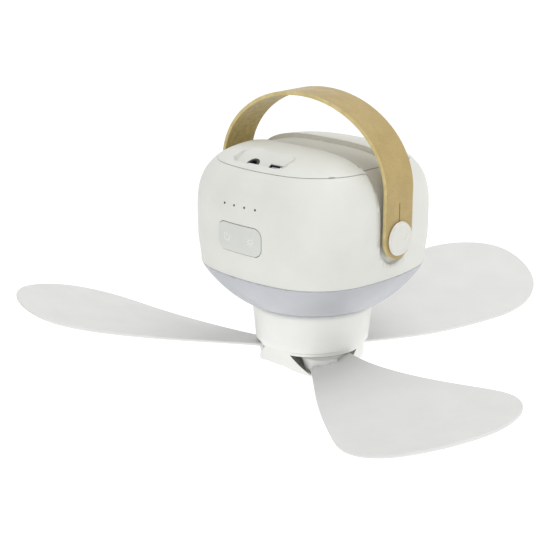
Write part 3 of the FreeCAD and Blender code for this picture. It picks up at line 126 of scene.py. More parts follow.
class Shader:
    """A small builder for the nodes of one material."""

    def __init__(self, name: str) -> None:
        """Start a material with a principled surface and its texture coordinates.

        Args:
            name: The material's name.
        """
        self.material = bpy.data.materials.new(name)
        self.material.use_nodes = True
        self.tree = self.material.node_tree
        self.tree.nodes.clear()
        output = self.tree.nodes.new("ShaderNodeOutputMaterial")
        self.surface = self.tree.nodes.new("ShaderNodeBsdfPrincipled")
        self.tree.links.new(self.surface.outputs[0], output.inputs["Surface"])
        self.place = self.tree.nodes.new("ShaderNodeTexCoord").outputs["Object"]

    def add(self, kind: str, **settings: object) -> bpy.types.Node:
        """Add a node and set its plain properties.

        Args:
            kind: The node's type.
            settings: Values of the node's own properties, by name.

        Returns:
            The new node.
        """
        node = self.tree.nodes.new(kind)
        for name, value in settings.items():
            setattr(node, name, value)
        return node

    def join(self, source: bpy.types.NodeSocket, target: bpy.types.NodeSocket) -> None:
        """Link one socket to another."""
        self.tree.links.new(source, target)

    def stretched(self, scale: tuple[float, float, float]) -> bpy.types.NodeSocket:
        """Object coordinates scaled apart along the three axes.

        Args:
            scale: Factors along X, Y and Z.

        Returns:
            The socket with the scaled coordinates.
        """
        mapping = self.add("ShaderNodeMapping")
        mapping.inputs["Scale"].default_value = scale
        self.join(self.place, mapping.inputs["Vector"])
        return mapping.outputs["Vector"]

    def noise(self, feature: float, detail: float = 3.0,
              place: bpy.types.NodeSocket | None = None) -> bpy.types.NodeSocket:
        """Cloudy noise whose features have a size in millimetres.

        Args:
            feature: Size of a feature in millimetres.
            detail: Octaves of finer noise.
            place: Coordinates, or None for the object's own.

        Returns:
            The socket with the noise's value.
        """
        node = self.add("ShaderNodeTexNoise")
        node.inputs["Scale"].default_value = 1 / (feature * MM)
        node.inputs["Detail"].default_value = detail
        self.join(place or self.place, node.inputs["Vector"])
        return node.outputs[0]

    def cells(self, feature: float,
              place: bpy.types.NodeSocket | None = None) -> bpy.types.NodeSocket:
        """Distance to the nearest centre of a cell pattern.

        Args:
            feature: Size of a cell in millimetres.
            place: Coordinates, or None for the object's own.

        Returns:
            The socket with the distance.
        """
        node = self.add("ShaderNodeTexVoronoi", feature="F1")
        node.inputs["Scale"].default_value = 1 / (feature * MM)
        self.join(place or self.place, node.inputs["Vector"])
        return node.outputs["Distance"]

    def mix(self, share: bpy.types.NodeSocket, first: Colour | bpy.types.NodeSocket,
            second: Colour | bpy.types.NodeSocket) -> bpy.types.NodeSocket:
        """Blend two colours by a share.

        Args:
            share: Socket with the share of the second colour.
            first: A colour or a socket.
            second: A colour or a socket.

        Returns:
            The socket with the blended colour.
        """
        node = self.add("ShaderNodeMix", data_type="RGBA")
        self.join(share, node.inputs[0])
        for number, value in ((MIX_FIRST, first), (MIX_SECOND, second)):
            socket = node.inputs[number]
            if isinstance(value, tuple):
                socket.default_value = (*value, 1.0)
            else:
                self.join(value, socket)
        return node.outputs[MIX_RESULT]

    def ramp(self, value: bpy.types.NodeSocket, low: float, high: float,
             start: float = 0.35, end: float = 0.65) -> bpy.types.NodeSocket:
        """Map a value's working range onto new limits.

        Args:
            value: Socket to map.
            low: Result at start.
            high: Result at end.
            start: Value that gives low.
            end: Value that gives high.

        Returns:
            The socket with the mapped value.
        """
        node = self.add("ShaderNodeMapRange")
        self.join(value, node.inputs["Value"])
        for name, number in (("From Min", start), ("From Max", end),
                             ("To Min", low), ("To Max", high)):
            node.inputs[name].default_value = number
        return node.outputs["Result"]

    def relief(self, height: bpy.types.NodeSocket, depth: float, strength: float = 1.0) -> None:
        """Raise the surface by a pattern, over any earlier relief.

        Args:
            height: Socket with the pattern's height from 0 to 1.
            depth: Height of the relief in millimetres.
            strength: Share of the relief that is used.
        """
        node = self.add("ShaderNodeBump")
        node.inputs["Distance"].default_value = depth * MM
        node.inputs["Strength"].default_value = strength
        self.join(height, node.inputs["Height"])
        earlier = self.surface.inputs["Normal"]
        if earlier.is_linked:
            self.join(earlier.links[0].from_socket, node.inputs["Normal"])
        self.join(node.outputs["Normal"], earlier)

    def fix(self, **values: float | tuple[float, ...]) -> None:
        """Set constants on the surface's own sockets.

        Args:
            values: Constants by the socket's name, with underscores for spaces.
        """
        for name, value in values.items():
            self.surface.inputs[name.replace("_", " ")].default_value = value


@dataclass(frozen=True)
class Finish:
    """A moulded or painted surface with faint clouds of colour and a fine grain.

    Attributes:
        name: The finish's name.
        colour: Main colour.
        shade: Second colour of the clouds.
        clouds: Size of the clouds in millimetres.
        rough: Middle roughness.
        spread: Half range of the roughness.
        smudges: Size of the roughness's patches as a share of the clouds.
        grain: Size of the grain in millimetres.
        depth: Depth of the grain in millimetres.
    """

    name: str
    colour: Colour
    shade: Colour
    clouds: float = 22.0
    rough: float = 0.42
    spread: float = 0.05
    smudges: float = 0.4
    grain: float = 0.45
    depth: float = 0.012

    def clouded(self, shader: Shader) -> bpy.types.NodeSocket:
        """The main colour with clouds of the second one."""
        clouds = shader.ramp(shader.noise(self.clouds), 0, 1)
        return shader.mix(clouds, self.colour, self.shade)

    def rub(self, shader: Shader, size: float) -> None:
        """Let the roughness vary in patches.

        Args:
            shader: The material's nodes.
            size: Size of a patch in millimetres.
        """
        patches = shader.noise(size, FINE)
        shader.join(shader.ramp(patches, self.rough - self.spread, self.rough + self.spread),
                    shader.surface.inputs["Roughness"])

    def dress(self, shader: Shader) -> None:
        """Set colour, roughness and grain.

        Args:
            shader: The material's nodes.
        """
        shader.join(self.clouded(shader), shader.surface.inputs["Base Color"])
        self.rub(shader, self.clouds * self.smudges)
        shader.relief(shader.noise(self.grain, COARSE), self.depth)

    def material(self) -> bpy.types.Material:
        """The finished material, made once and shared.

        Returns:
            The material.
        """
        name = f"{self.name}_finish"
        made = bpy.data.materials.get(name)
        if made is None:
            shader = Shader(name)
            self.dress(shader)
            made = shader.material
        return made


@dataclass(frozen=True)
class Moulded(Finish):
    """Satin moulded plastic that lets a little light into its skin.

    Attributes:
        skin: Share of the light that goes under the surface.
        skin_depth: How far it goes, in millimetres.
        skin_tint: How far each colour goes, against that depth.
        refraction: Index of refraction.
        shine: Strength of the reflection.
        waves: Size of the flow waves in millimetres.
        wave_depth: Depth of the waves in millimetres.
        wave_strength: Share of the waves' relief that is used.
    """

    skin: float = 0.12
    skin_depth: float = 0.8
    skin_tint: Colour = (1.0, 0.95, 0.9)
    refraction: float = 1.48
    shine: float = 0.4
    waves: float = 16.0
    wave_depth: float = 0.05
    wave_strength: float = 0.5

    def dress(self, shader: Shader) -> None:
        """Add light under the skin and faint flow waves to the plain finish.

        Args:
            shader: The material's nodes.
        """
        super().dress(shader)
        shader.fix(Subsurface_Weight=self.skin, Subsurface_Scale=self.skin_depth * MM,
                   Subsurface_Radius=self.skin_tint, IOR=self.refraction,
                   Specular_IOR_Level=self.shine)
        shader.relief(shader.noise(self.waves, SMOOTH), self.wave_depth, self.wave_strength)


@dataclass(frozen=True)
class Gloss(Finish):
    """Polished plastic with a clear coat.

    Attributes:
        coat: Strength of the coat.
        coat_rough: Roughness of the coat.
        refraction: Index of refraction below it.
    """

    coat: float = 0.6
    coat_rough: float = 0.12
    refraction: float = 1.5

    def dress(self, shader: Shader) -> None:
        """Add the coat to the plain finish."""
        super().dress(shader)
        shader.fix(Coat_Weight=self.coat, Coat_Roughness=self.coat_rough, IOR=self.refraction)


@dataclass(frozen=True)
class Metal(Finish):
    """Plated or cast metal with fine lines drawn along one axis.

    Attributes:
        lines: How much the lines are pressed together along each axis.
        line_size: Size of the lines in millimetres.
        line_depth: Depth of the lines in millimetres.
        line_strength: Share of the lines' relief that is used.
    """

    lines: tuple[float, float, float] = (1.0, 1.0, 8.0)
    line_size: float = 0.8
    line_depth: float = 0.01
    line_strength: float = 0.6

    def dress(self, shader: Shader) -> None:
        """Make the plain finish metallic and add its drawn lines.

        Args:
            shader: The material's nodes.
        """
        super().dress(shader)
        shader.fix(Metallic=1.0)
        drawn = shader.noise(self.line_size, MEDIUM, shader.stretched(self.lines))
        shader.relief(drawn, self.line_depth, self.line_strength)


@dataclass(frozen=True)
class LeatherFace(Finish):
    """Smooth grain leather with pores, creases, a dry sheen and painted shade in the pores.

    Attributes:
        pore: Distance between pores in millimetres.
        pore_edge: Distance from a pore's middle where its painted shade ends, as a share.
        pore_shade: Share of the painted shade's darker colour in a pore's middle.
        pore_dark: How much darker the painted shade in the pores is than the clouds.
        pore_strength: Share of the pores' relief that is used.
        crease: Size of the creases in millimetres.
        crease_depth: Depth of the creases against the grain's.
        crease_strength: Share of the creases' relief that is used.
        rubbed: Size of the patches rubbed smoother, in millimetres.
        refraction: Index of refraction.
        shine: Strength of the reflection.
        sheen: Strength of the sheen of fine fibres.
        sheen_rough: Roughness of the sheen.
    """

    pore: float = 1.1
    pore_edge: float = 0.45
    pore_shade: float = 0.5
    pore_dark: float = 0.62
    pore_strength: float = 0.7
    crease: float = 2.4
    crease_depth: float = 1.6
    crease_strength: float = 0.8
    rubbed: float = 6.0
    refraction: float = 1.45
    shine: float = 0.4
    sheen: float = 0.2
    sheen_rough: float = 0.35

    def dress(self, shader: Shader) -> None:
        """Set clouds of colour, painted shade in the pores' middles, rubbed patches and creases.

        Args:
            shader: The material's nodes.
        """
        body = self.clouded(shader)
        pores = shader.cells(self.pore)
        # painted shade: the colour darkens towards each pore's middle, where the pores' relief
        # dips
        painted_pore_shade = shader.ramp(pores, self.pore_shade, 0.0, 0.0, self.pore_edge)
        darker = tuple(share * self.pore_dark for share in self.shade)
        shader.join(shader.mix(painted_pore_shade, body, darker), shader.surface.inputs["Base Color"])
        self.rub(shader, self.rubbed)
        shader.fix(IOR=self.refraction, Specular_IOR_Level=self.shine, Sheen_Weight=self.sheen,
                   Sheen_Roughness=self.sheen_rough)
        shader.relief(shader.noise(self.crease, MEDIUM), self.depth * self.crease_depth,
                      self.crease_strength)
        shader.relief(pores, self.depth, self.pore_strength)


@dataclass(frozen=True)
class LeatherFibre(Finish):
    """Cut edge or back of the leather, with drawn fibres.

    Attributes:
        along: How much the fibres are pressed together along each axis.
        fibre: Size of the fibres in millimetres.
        fibre_depth: Depth of the fibres against the grain's.
        shine: Strength of the reflection.
        sheen: Strength of the sheen of fine fibres.
        sheen_rough: Roughness of the sheen.
    """

    along: tuple[float, float, float] = (1.0, 1.0, 1.0)
    fibre: float = 0.9
    fibre_depth: float = 2.0
    shine: float = 0.2
    sheen: float = 0.3
    sheen_rough: float = 0.6

    def dress(self, shader: Shader) -> None:
        """Add drawn fibres to the plain finish.

        Args:
            shader: The material's nodes.
        """
        super().dress(shader)
        fibres = shader.noise(self.fibre, VERY_FINE, shader.stretched(self.along))
        shader.relief(fibres, self.depth * self.fibre_depth)
        shader.fix(Sheen_Weight=self.sheen, Sheen_Roughness=self.sheen_rough,
                   Specular_IOR_Level=self.shine)


@dataclass(frozen=True)
class Frosted(Finish):
    """Frosted light bowl that scatters light through its wall.

    Attributes:
        scatter: Share of the light that goes into the wall.
        scatter_depth: How far it goes, in millimetres.
        scatter_tint: How far each colour goes, against that depth.
        refraction: Index of refraction.
        shine: Strength of the reflection.
    """

    scatter: float = 0.35
    scatter_depth: float = 4.0
    scatter_tint: Colour = (0.95, 0.97, 1.0)
    refraction: float = 1.46
    shine: float = 0.5

    def dress(self, shader: Shader) -> None:
        """Add deep scattering and a soft shine to the plain finish.

        Args:
            shader: The material's nodes.
        """
        super().dress(shader)
        shader.fix(Subsurface_Weight=self.scatter, Subsurface_Scale=self.scatter_depth * MM,
                   Subsurface_Radius=self.scatter_tint, IOR=self.refraction,
                   Specular_IOR_Level=self.shine)


@dataclass(frozen=True)
class Circuit(Finish):
    """Circuit board with solder mask over copper traces and tinned pads.

    Attributes:
        traces: Scale of the trace pattern, in bricks for each metre.
        trace_wide: Width of a trace as a share of a brick.
        trace_depth: Height of a trace in millimetres.
        trace_light: How much lighter a trace is than the mask.
        trace_edge: Values of the pattern between which a trace's edge lies.
        pad_apart: Distance between pads in millimetres.
        pad_middle: Where a pad's rim starts, as a share of that distance.
        pad_rim: Where a pad's rim ends, as a share of that distance.
        tin: Colour of the pads.
    """

    traces: float = 260.0
    trace_wide: float = 0.03
    trace_depth: float = 0.03
    trace_light: float = 1.9
    trace_edge: tuple[float, float] = (0.4, 0.6)
    pad_apart: float = 3.2
    pad_middle: float = 0.10
    pad_rim: float = 0.14
    tin: Colour = tone(196, 198, 200)

    def dress(self, shader: Shader) -> None:
        """Add traces and pads to the plain finish.

        Args:
            shader: The material's nodes.
        """
        super().dress(shader)
        mask = shader.surface.inputs["Base Color"].links[0].from_socket
        traces = shader.add("ShaderNodeTexBrick")
        traces.inputs["Scale"].default_value = self.traces
        traces.inputs["Mortar Size"].default_value = self.trace_wide
        shader.join(shader.place, traces.inputs["Vector"])
        lighter = tuple(min(1.0, share * self.trace_light) for share in self.colour)
        shown = shader.ramp(traces.outputs["Fac"], 0, 1, *self.trace_edge)
        tracked = shader.mix(shown, mask, lighter)
        pads = shader.ramp(shader.cells(self.pad_apart), 1, 0, self.pad_middle, self.pad_rim)
        shader.join(shader.mix(pads, tracked, self.tin), shader.surface.inputs["Base Color"])
        shader.relief(traces.outputs["Fac"], self.trace_depth)


@dataclass(frozen=True)
class Winding(Finish):
    """Enamelled wire wound in close turns.

    Attributes:
        turns: Scale of the bands of turns.
        turn_depth: Height of a turn in millimetres.
        metal: Share of bare metal in the look.
        enamel: Strength of the clear enamel.
        enamel_rough: Roughness of the enamel.
    """

    turns: float = 600.0
    turn_depth: float = 0.15
    metal: float = 0.8
    enamel: float = 0.5
    enamel_rough: float = 0.2

    def dress(self, shader: Shader) -> None:
        """Add the turns of wire to the plain finish.

        Args:
            shader: The material's nodes.
        """
        super().dress(shader)
        bands = shader.add("ShaderNodeTexWave", bands_direction="Z")
        bands.inputs["Scale"].default_value = self.turns
        shader.join(shader.place, bands.inputs["Vector"])
        shader.relief(bands.outputs["Fac"], self.turn_depth)
        shader.fix(Metallic=self.metal, Coat_Weight=self.enamel,
                   Coat_Roughness=self.enamel_rough)


@dataclass(frozen=True)
class Paper(Finish):
    """Pale paper on the studio's floor, with a weak glow that lifts the shadows.

    Attributes:
        glow: Strength of the glow.
    """

    glow: float = 0.28

    def dress(self, shader: Shader) -> None:
        """Add the glow to the plain finish."""
        super().dress(shader)
        shader.fix(Emission_Color=WHITE, Emission_Strength=self.glow)


@dataclass(frozen=True)
class Palette:
    """All finishes of the fan, one for each material slot of the part and a few extra."""

    housing_white: Finish = Moulded("housing_white", tone(218, 219, 213), tone(214, 215, 209))
    blade_white: Finish = Moulded("blade_white", tone(219, 219, 217), tone(216, 216, 214),
                                  rough=0.46)
    # painted light: the neck, carrier and cap are the housing's white plastic, made lighter to
    # stand in for the light they catch from the floor and the front
    neck_white: Finish = Moulded("neck_white", tone(232, 233, 228), tone(228, 229, 224),
                                 rough=0.38)
    key_grey: Finish = Moulded("key_grey", tone(208, 210, 205), tone(204, 206, 201),
                               rough=0.5, grain=0.3, depth=0.018)
    key_mark: Finish = Moulded("key_mark", tone(229, 231, 226), tone(226, 228, 223), rough=0.4)
    button_plastic: Finish = Gloss("button_plastic", tone(216, 216, 209), tone(212, 212, 205),
                                   rough=0.3, coat=0.4)
    nylon: Finish = Moulded("nylon", tone(212, 211, 204), tone(203, 202, 194), skin=0.3)
    frosted: Finish = Frosted("frosted", tone(185, 187, 192), tone(181, 183, 188), rough=0.36)
    ring_grey: Finish = Moulded("ring_grey", tone(176, 179, 188), tone(172, 175, 184), rough=0.3)
    leather: Finish = LeatherFace("leather", tone(180, 158, 105), tone(171, 149, 96),
                                  clouds=14.0, rough=0.42, spread=0.08, depth=0.035)
    leather_edge: Finish = LeatherFibre("leather_edge", tone(208, 190, 134), tone(192, 173, 116),
                                        clouds=5.0, rough=0.7, along=(1.0, 3.0, 1.0))
    leather_back: Finish = LeatherFibre("leather_back", tone(184, 163, 92), tone(162, 140, 76),
                                        clouds=3.0, rough=0.85, spread=0.06, depth=0.03)
    black_plastic: Finish = Gloss("black_plastic", tone(30, 30, 31), tone(38, 38, 39),
                                  rough=0.35, coat=0.3)
    holder_plastic: Finish = Moulded("holder_plastic", tone(46, 47, 49), tone(56, 57, 58),
                                     rough=0.55, skin=0.0)
    light_pipe: Finish = Gloss("light_pipe", tone(36, 36, 38), tone(30, 30, 32), rough=0.5,
                               coat=0.0)
    cell_sleeve: Finish = Gloss("cell_sleeve", tone(62, 112, 158), tone(54, 100, 146), rough=0.3)
    led_yellow: Finish = Gloss("led_yellow", tone(238, 214, 96), tone(230, 202, 80), clouds=0.9)
    circuit_board: Finish = Circuit("circuit_board", tone(34, 92, 60), tone(28, 80, 52),
                                    rough=0.3)
    steel: Finish = Metal("steel", tone(188, 190, 194), tone(172, 174, 178), rough=0.3,
                          spread=0.08)
    aluminium_cast: Finish = Metal("aluminium_cast", tone(190, 192, 195), tone(176, 178, 181),
                                   rough=0.5, grain=0.8, depth=0.05, lines=(1.0, 1.0, 1.0))
    magnet: Finish = Metal("magnet", tone(96, 97, 102), tone(82, 83, 88), rough=0.4)
    copper: Finish = Winding("copper", tone(176, 98, 50), tone(156, 82, 40), rough=0.3)
    floor: Finish = Paper("floor_paper", tone(249, 249, 249), tone(247, 247, 247),
                          clouds=400.0, rough=0.9, grain=2.0, depth=0.02)

    def of_slot(self, slot: str) -> Finish:
        """The finish of one of the part's material slots."""
        return getattr(self, slot)


class Shading(Enum):
    """How a piece is shaded, by the angle in degrees past which an edge stays sharp."""

    SOFT = 50.0
    CRISP = 28.0


def slot_of(node: str) -> str:
    """The material slot that the part's record gives a node."""
    return next(row["material_slot"] for row in frame["record"]["subparts"]
                if row["node"] == node)


@dataclass
class Builder:
    """What every sub-assembly needs to make its pieces: the palette and their common steps."""

    palette: Palette

    def finish_piece(self, name: str, form: bmesh.types.BMesh, finishes: Iterable[Finish],
                     body: str, slot: str, shading: Shading = Shading.SOFT
                     ) -> bpy.types.Object:
        """Turn a bmesh into a finished piece that rides on a body.

        Args:
            name: The piece's name.
            form: The piece's shape, which is freed.
            finishes: Finishes in the order of the faces' material numbers.
            body: The body that the piece moves with.
            slot: The record's material slot; not used.
            shading: How its faces are shaded.

        Returns:
            The new object.
        """
        for face in form.faces:
            face.smooth = True
        piece = stood_up(name, form)
        mesh = piece.data
        for finish in finishes:
            mesh.materials.append(finish.material())
        mesh.set_sharp_from_angle(angle=math.radians(shading.value))
        even = piece.modifiers.new("even_shading", "WEIGHTED_NORMAL")
        even.keep_sharp = True
        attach(piece, body)
        log.info("made %s, %d faces, on %s", name, len(mesh.polygons), body)
        return piece

    def smooth_copy(self, node: str, finish: Finish | None = None,
                    shading: Shading = Shading.CRISP) -> bpy.types.Object:
        """Stand a merged, smoothly shaded copy in the place of a CAD node.

        Args:
            node: The CAD node.
            finish: Its finish, or None for the one of its material slot.
            shading: How its faces are shaded.

        Returns:
            The copy.
        """
        source = frame["nodes"][node]
        form = bmesh.new()
        form.from_mesh(source.data)
        bmesh.ops.remove_doubles(form, verts=form.verts, dist=TOUCHING)
        slot = slot_of(node)
        piece = self.finish_piece(f"{node}_skin", form,
                                  [finish or self.palette.of_slot(slot)],
                                  body_of(source)[0], slot, shading)
        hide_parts(node)
        return piece

    def dress_node(self, node: str) -> None:
        """Give a CAD node that stays in place the finish of its material slot.

        Args:
            node: The CAD node.
        """
        mesh = frame["nodes"][node].data
        mesh.materials.clear()
        mesh.materials.append(self.palette.of_slot(slot_of(node)).material())
        log.info("dressed %s", node)


def swept(columns: int, rows: int, point: Callable[[float, float], Vector]
          ) -> bmesh.types.BMesh:
    """A skin laid over a grid whose place is given by two shares from 0 to 1.

    Args:
        columns: Steps along the first share, which closes on itself.
        rows: Steps along the second share.
        point: Gives a point of the skin for both shares.

    Returns:
        The skin, closed where its points meet.
    """
    form = bmesh.new()
    bmesh.ops.create_grid(form, x_segments=columns, y_segments=rows, size=0.5)
    for vert in form.verts:
        vert.co = point(vert.co.x + 0.5, vert.co.y + 0.5)
    bmesh.ops.remove_doubles(form, verts=form.verts, dist=TOUCHING / 2)
    bmesh.ops.recalc_face_normals(form, faces=form.faces)
    return form


def stood_up(name: str, form: bmesh.types.BMesh) -> bpy.types.Object:
    """Put a bmesh into the scene as an object of its own.

    Args:
        name: The object's name.
        form: Its shape, which is freed.

    Returns:
        The new object.
    """
    mesh = bpy.data.meshes.new(name)
    form.to_mesh(mesh)
    form.free()
    made = bpy.data.objects.new(name, mesh)
    bpy.context.scene.collection.objects.link(made)
    return made


def carved(piece: bpy.types.Object, tools: list[bmesh.types.BMesh]) -> None:
    """Cut closed tools out of a piece's own mesh.

    Args:
        piece: The piece, whose mesh is changed.
        tools: Closed shapes, which are freed.
    """
    for number, form in enumerate(tools):
        tool = stood_up(f"tool_{number}", form)
        cut = piece.modifiers.new("cut", "BOOLEAN")
        cut.operation = "DIFFERENCE"
        cut.solver = "EXACT"
        cut.object = tool
        piece.modifiers.move(piece.modifiers.find(cut.name), 0)
        for other in piece.modifiers:
            other.show_viewport = other == cut
        ready = piece.evaluated_get(bpy.context.evaluated_depsgraph_get())
        made = bpy.data.meshes.new_from_object(ready)
        piece.modifiers.remove(cut)
        for other in piece.modifiers:
            other.show_viewport = True
        old = piece.data
        made.name = old.name
        piece.data = made
        spare = tool.data
        bpy.data.objects.remove(tool)
        bpy.data.meshes.remove(spare)
        bpy.data.meshes.remove(old)
    piece.data.set_sharp_from_angle(angle=math.radians(Shading.SOFT.value))


def box_form(low: tuple[float, float, float], high: tuple[float, float, float]
             ) -> bmesh.types.BMesh:
    """A closed box between two corners.

    Args:
        low: The lowest corner, in millimetres from the light line.
        high: The highest corner.

    Returns:
        The box.
    """
    form = bmesh.new()
    bmesh.ops.create_cube(form, size=1.0)
    first, last = at(*low), at(*high)
    bmesh.ops.scale(form, vec=last - first, verts=form.verts)
    bmesh.ops.translate(form, vec=(first + last) / 2, verts=form.verts)
    return form


@dataclass
class Strap(Builder):
    """The leather strap: one band up one side, over in an arch and down the other side.

    Attributes:
        half_width: Half its width.
        thick: Its thickness.
        reach: Distance from the middle to the outer face of a leg.
        arch_centre: Height where the legs end and the arch starts.
        arch_rise: Rise of the arch's outer face above that.
        button_height: Height of the button holes.
        hole_radius: Radius of a button hole.
        slit_low: Height of a slit's lower end.
        slit_high: Height of a slit's upper end.
        slit_width: Width of a slit.
        edge_round: Depth of the rounding at the cut edges.
        edge_fullness: Power of the rounding, below 1 for a fuller edge.
        end_share: Share of half the band's rows that lies in its rounded end.
        least_half: Half width that is kept at the very tip.
        columns: Steps round the section.
        rows: Steps along the band.
        arch_steps: Steps in the sum of the arch's length.
        hole_steps: Sides of the rod that cuts the holes.
        cut_past: How far the cutting shapes pass the outer face.
        face_slant: Cosine of the slant at which a face starts to be a cut edge.
    """

    half_width: float = 13.0
    thick: float = 2.6
    reach: float = 70.0
    arch_centre: float = 54.5
    arch_rise: float = 54.0
    button_height: float = 26.0
    hole_radius: float = 4.1
    slit_low: float = 35.0
    slit_high: float = 48.0
    slit_width: float = 0.8
    edge_round: float = 0.5
    edge_fullness: float = 0.6
    end_share: float = 0.12
    least_half: float = 0.02
    columns: int = 32
    rows: int = 240
    arch_steps: int = 64
    hole_steps: int = 48
    cut_past: float = 7.0
    face_slant: float = 0.75

    def arch_length(self) -> float:
        """Length of half the outer arch.

        Returns:
            The length, as the sum of short chords.
        """
        angles = [math.pi / 2 * step / self.arch_steps for step in range(self.arch_steps + 1)]
        return sum(math.hypot(self.reach * (math.cos(last) - math.cos(first)),
                              self.arch_rise * (math.sin(last) - math.sin(first)))
                   for first, last in zip(angles, angles[1:]))

    def leg_length(self) -> float:
        """Length of a straight leg with its rounded end."""
        return self.arch_centre - self.button_height + self.half_width

    def row(self, share: float) -> tuple[int, float, float]:
        """Where one row of the skin lies.

        Args:
            share: From 0 at the end on +X to 1 at the end on -X.

        Returns:
            The side, the distance from that side's end, and half the width there.
        """
        side = 1 if share <= 0.5 else -1
        near = min(share, 1 - share) * 2
        if near < self.end_share:
            turn = math.pi / 2 * near / self.end_share
            return (side, self.half_width * (1 - math.cos(turn)),
                    self.half_width * math.sin(turn))
        rest = (near - self.end_share) / (1 - self.end_share)
        whole = self.leg_length() + self.arch_length()
        return side, self.half_width + (whole - self.half_width) * rest, self.half_width

    def line(self, side: int, along: float, depth: float) -> tuple[float, float]:
        """A point of the strap seen from the front.

        Args:
            side: 1 on +X, -1 on -X.
            along: Distance from that side's end on the outer face.
            depth: Depth below the outer face.

        Returns:
            The point's X and height.
        """
        leg = self.leg_length()
        reach = self.reach - depth
        if along < leg:
            return side * reach, self.button_height - self.half_width + along
        angle = math.pi / 2 * (along - leg) / self.arch_length()
        return (side * reach * math.cos(angle),
                self.arch_centre + (self.arch_rise - depth) * math.sin(angle))

    def section(self, turn: float, half: float) -> tuple[float, float]:
        """A point of the strap's cross-section, a slim bar with rounded edges.

        Args:
            turn: Share round the section.
            half: Half width there.

        Returns:
            Place across the strap and depth below the outer face.
        """
        corner = min(self.edge_round, half)
        flat = half - corner
        middle = self.thick / 2
        quarter, share = divmod(turn * 4, 1.0)
        number = int(quarter) % 4
        if number in (0, 2):
            sign = 1 if number == 0 else -1
            return sign * flat * (2 * share - 1), middle - sign * middle
        sign = 1 if number == 1 else -1
        swing = math.pi / 2 - math.pi * share
        across = sign * (flat + corner * math.cos(swing) ** self.edge_fullness)
        return across, middle - sign * middle * math.sin(swing)

    def skin(self, turn: float, share: float) -> Vector:
        """A point of the strap's skin.

        Args:
            turn: Share round the section.
            share: Share along the band.

        Returns:
            The point in metres.
        """
        side, along, half = self.row(share)
        across, depth = self.section(turn, max(half, self.least_half))
        x, z = self.line(side, along, depth)
        return at(x, across, z)

    def paint(self, form: bmesh.types.BMesh) -> None:
        """Number the faces: 0 for the outer face, 1 for the cut edge, 2 for the back.

        Args:
            form: The strap's skin, whose faces are numbered.
        """
        for face in form.faces:
            middle = face.calc_center_median() / MM
            height = middle.z + HOOK_HEIGHT - self.arch_centre
            out = Vector((middle.x, 0, 0))
            if height > 0:
                out = Vector((middle.x / self.reach ** 2, 0, height / self.arch_rise ** 2))
            facing = face.normal.dot(out.normalized())
            outer = facing > self.face_slant
            back = facing < -self.face_slant
            face.material_index = 0 if outer else 2 if back else 1

    def hole(self) -> bmesh.types.BMesh:
        """The rod that cuts both button holes.

        Returns:
            The closed shape.
        """
        form = bmesh.new()
        turn = Matrix.Rotation(math.pi / 2, 4, "Y")
        bmesh.ops.create_cone(form, cap_ends=True, segments=self.hole_steps,
                              radius1=self.hole_radius * MM, radius2=self.hole_radius * MM,
                              depth=2 * (self.reach + self.cut_past) * MM,
                              matrix=Matrix.Translation(at(0, 0, self.button_height)) @ turn)
        return form

    def slit(self) -> bmesh.types.BMesh:
        """The thin box that cuts both slits above the holes.

        Returns:
            The closed shape.
        """
        far = self.reach + self.cut_past
        half = self.slit_width / 2
        return box_form((-far, -half, self.slit_low), (far, half, self.slit_high))

    def build(self) -> None:
        """Make the band, its faces, edges, button holes and slits."""
        form = swept(self.columns, self.rows, self.skin)
        bmesh.ops.holes_fill(form, edges=[edge for edge in form.edges if edge.is_boundary])
        self.paint(form)
        colours = self.palette
        strap = self.finish_piece("strap_leather", form,
                                  [colours.leather, colours.leather_edge,
                                   colours.leather_back], "root", "leather")
        carved(strap, [self.hole(), self.slit()])
        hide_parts("strap")


@dataclass
class Housing(Builder):
    """The white housing with its cover, the dished buttons and the two ports."""

    nodes: tuple[str, ...] = ("main_housing", "top_cover", "strap_buttons", "dc_jack",
                              "usb_port", "button_washers")

    def build(self) -> None:
        """Dress the shell, the cover and what is set into them."""
        for node in self.nodes:
            self.smooth_copy(node)


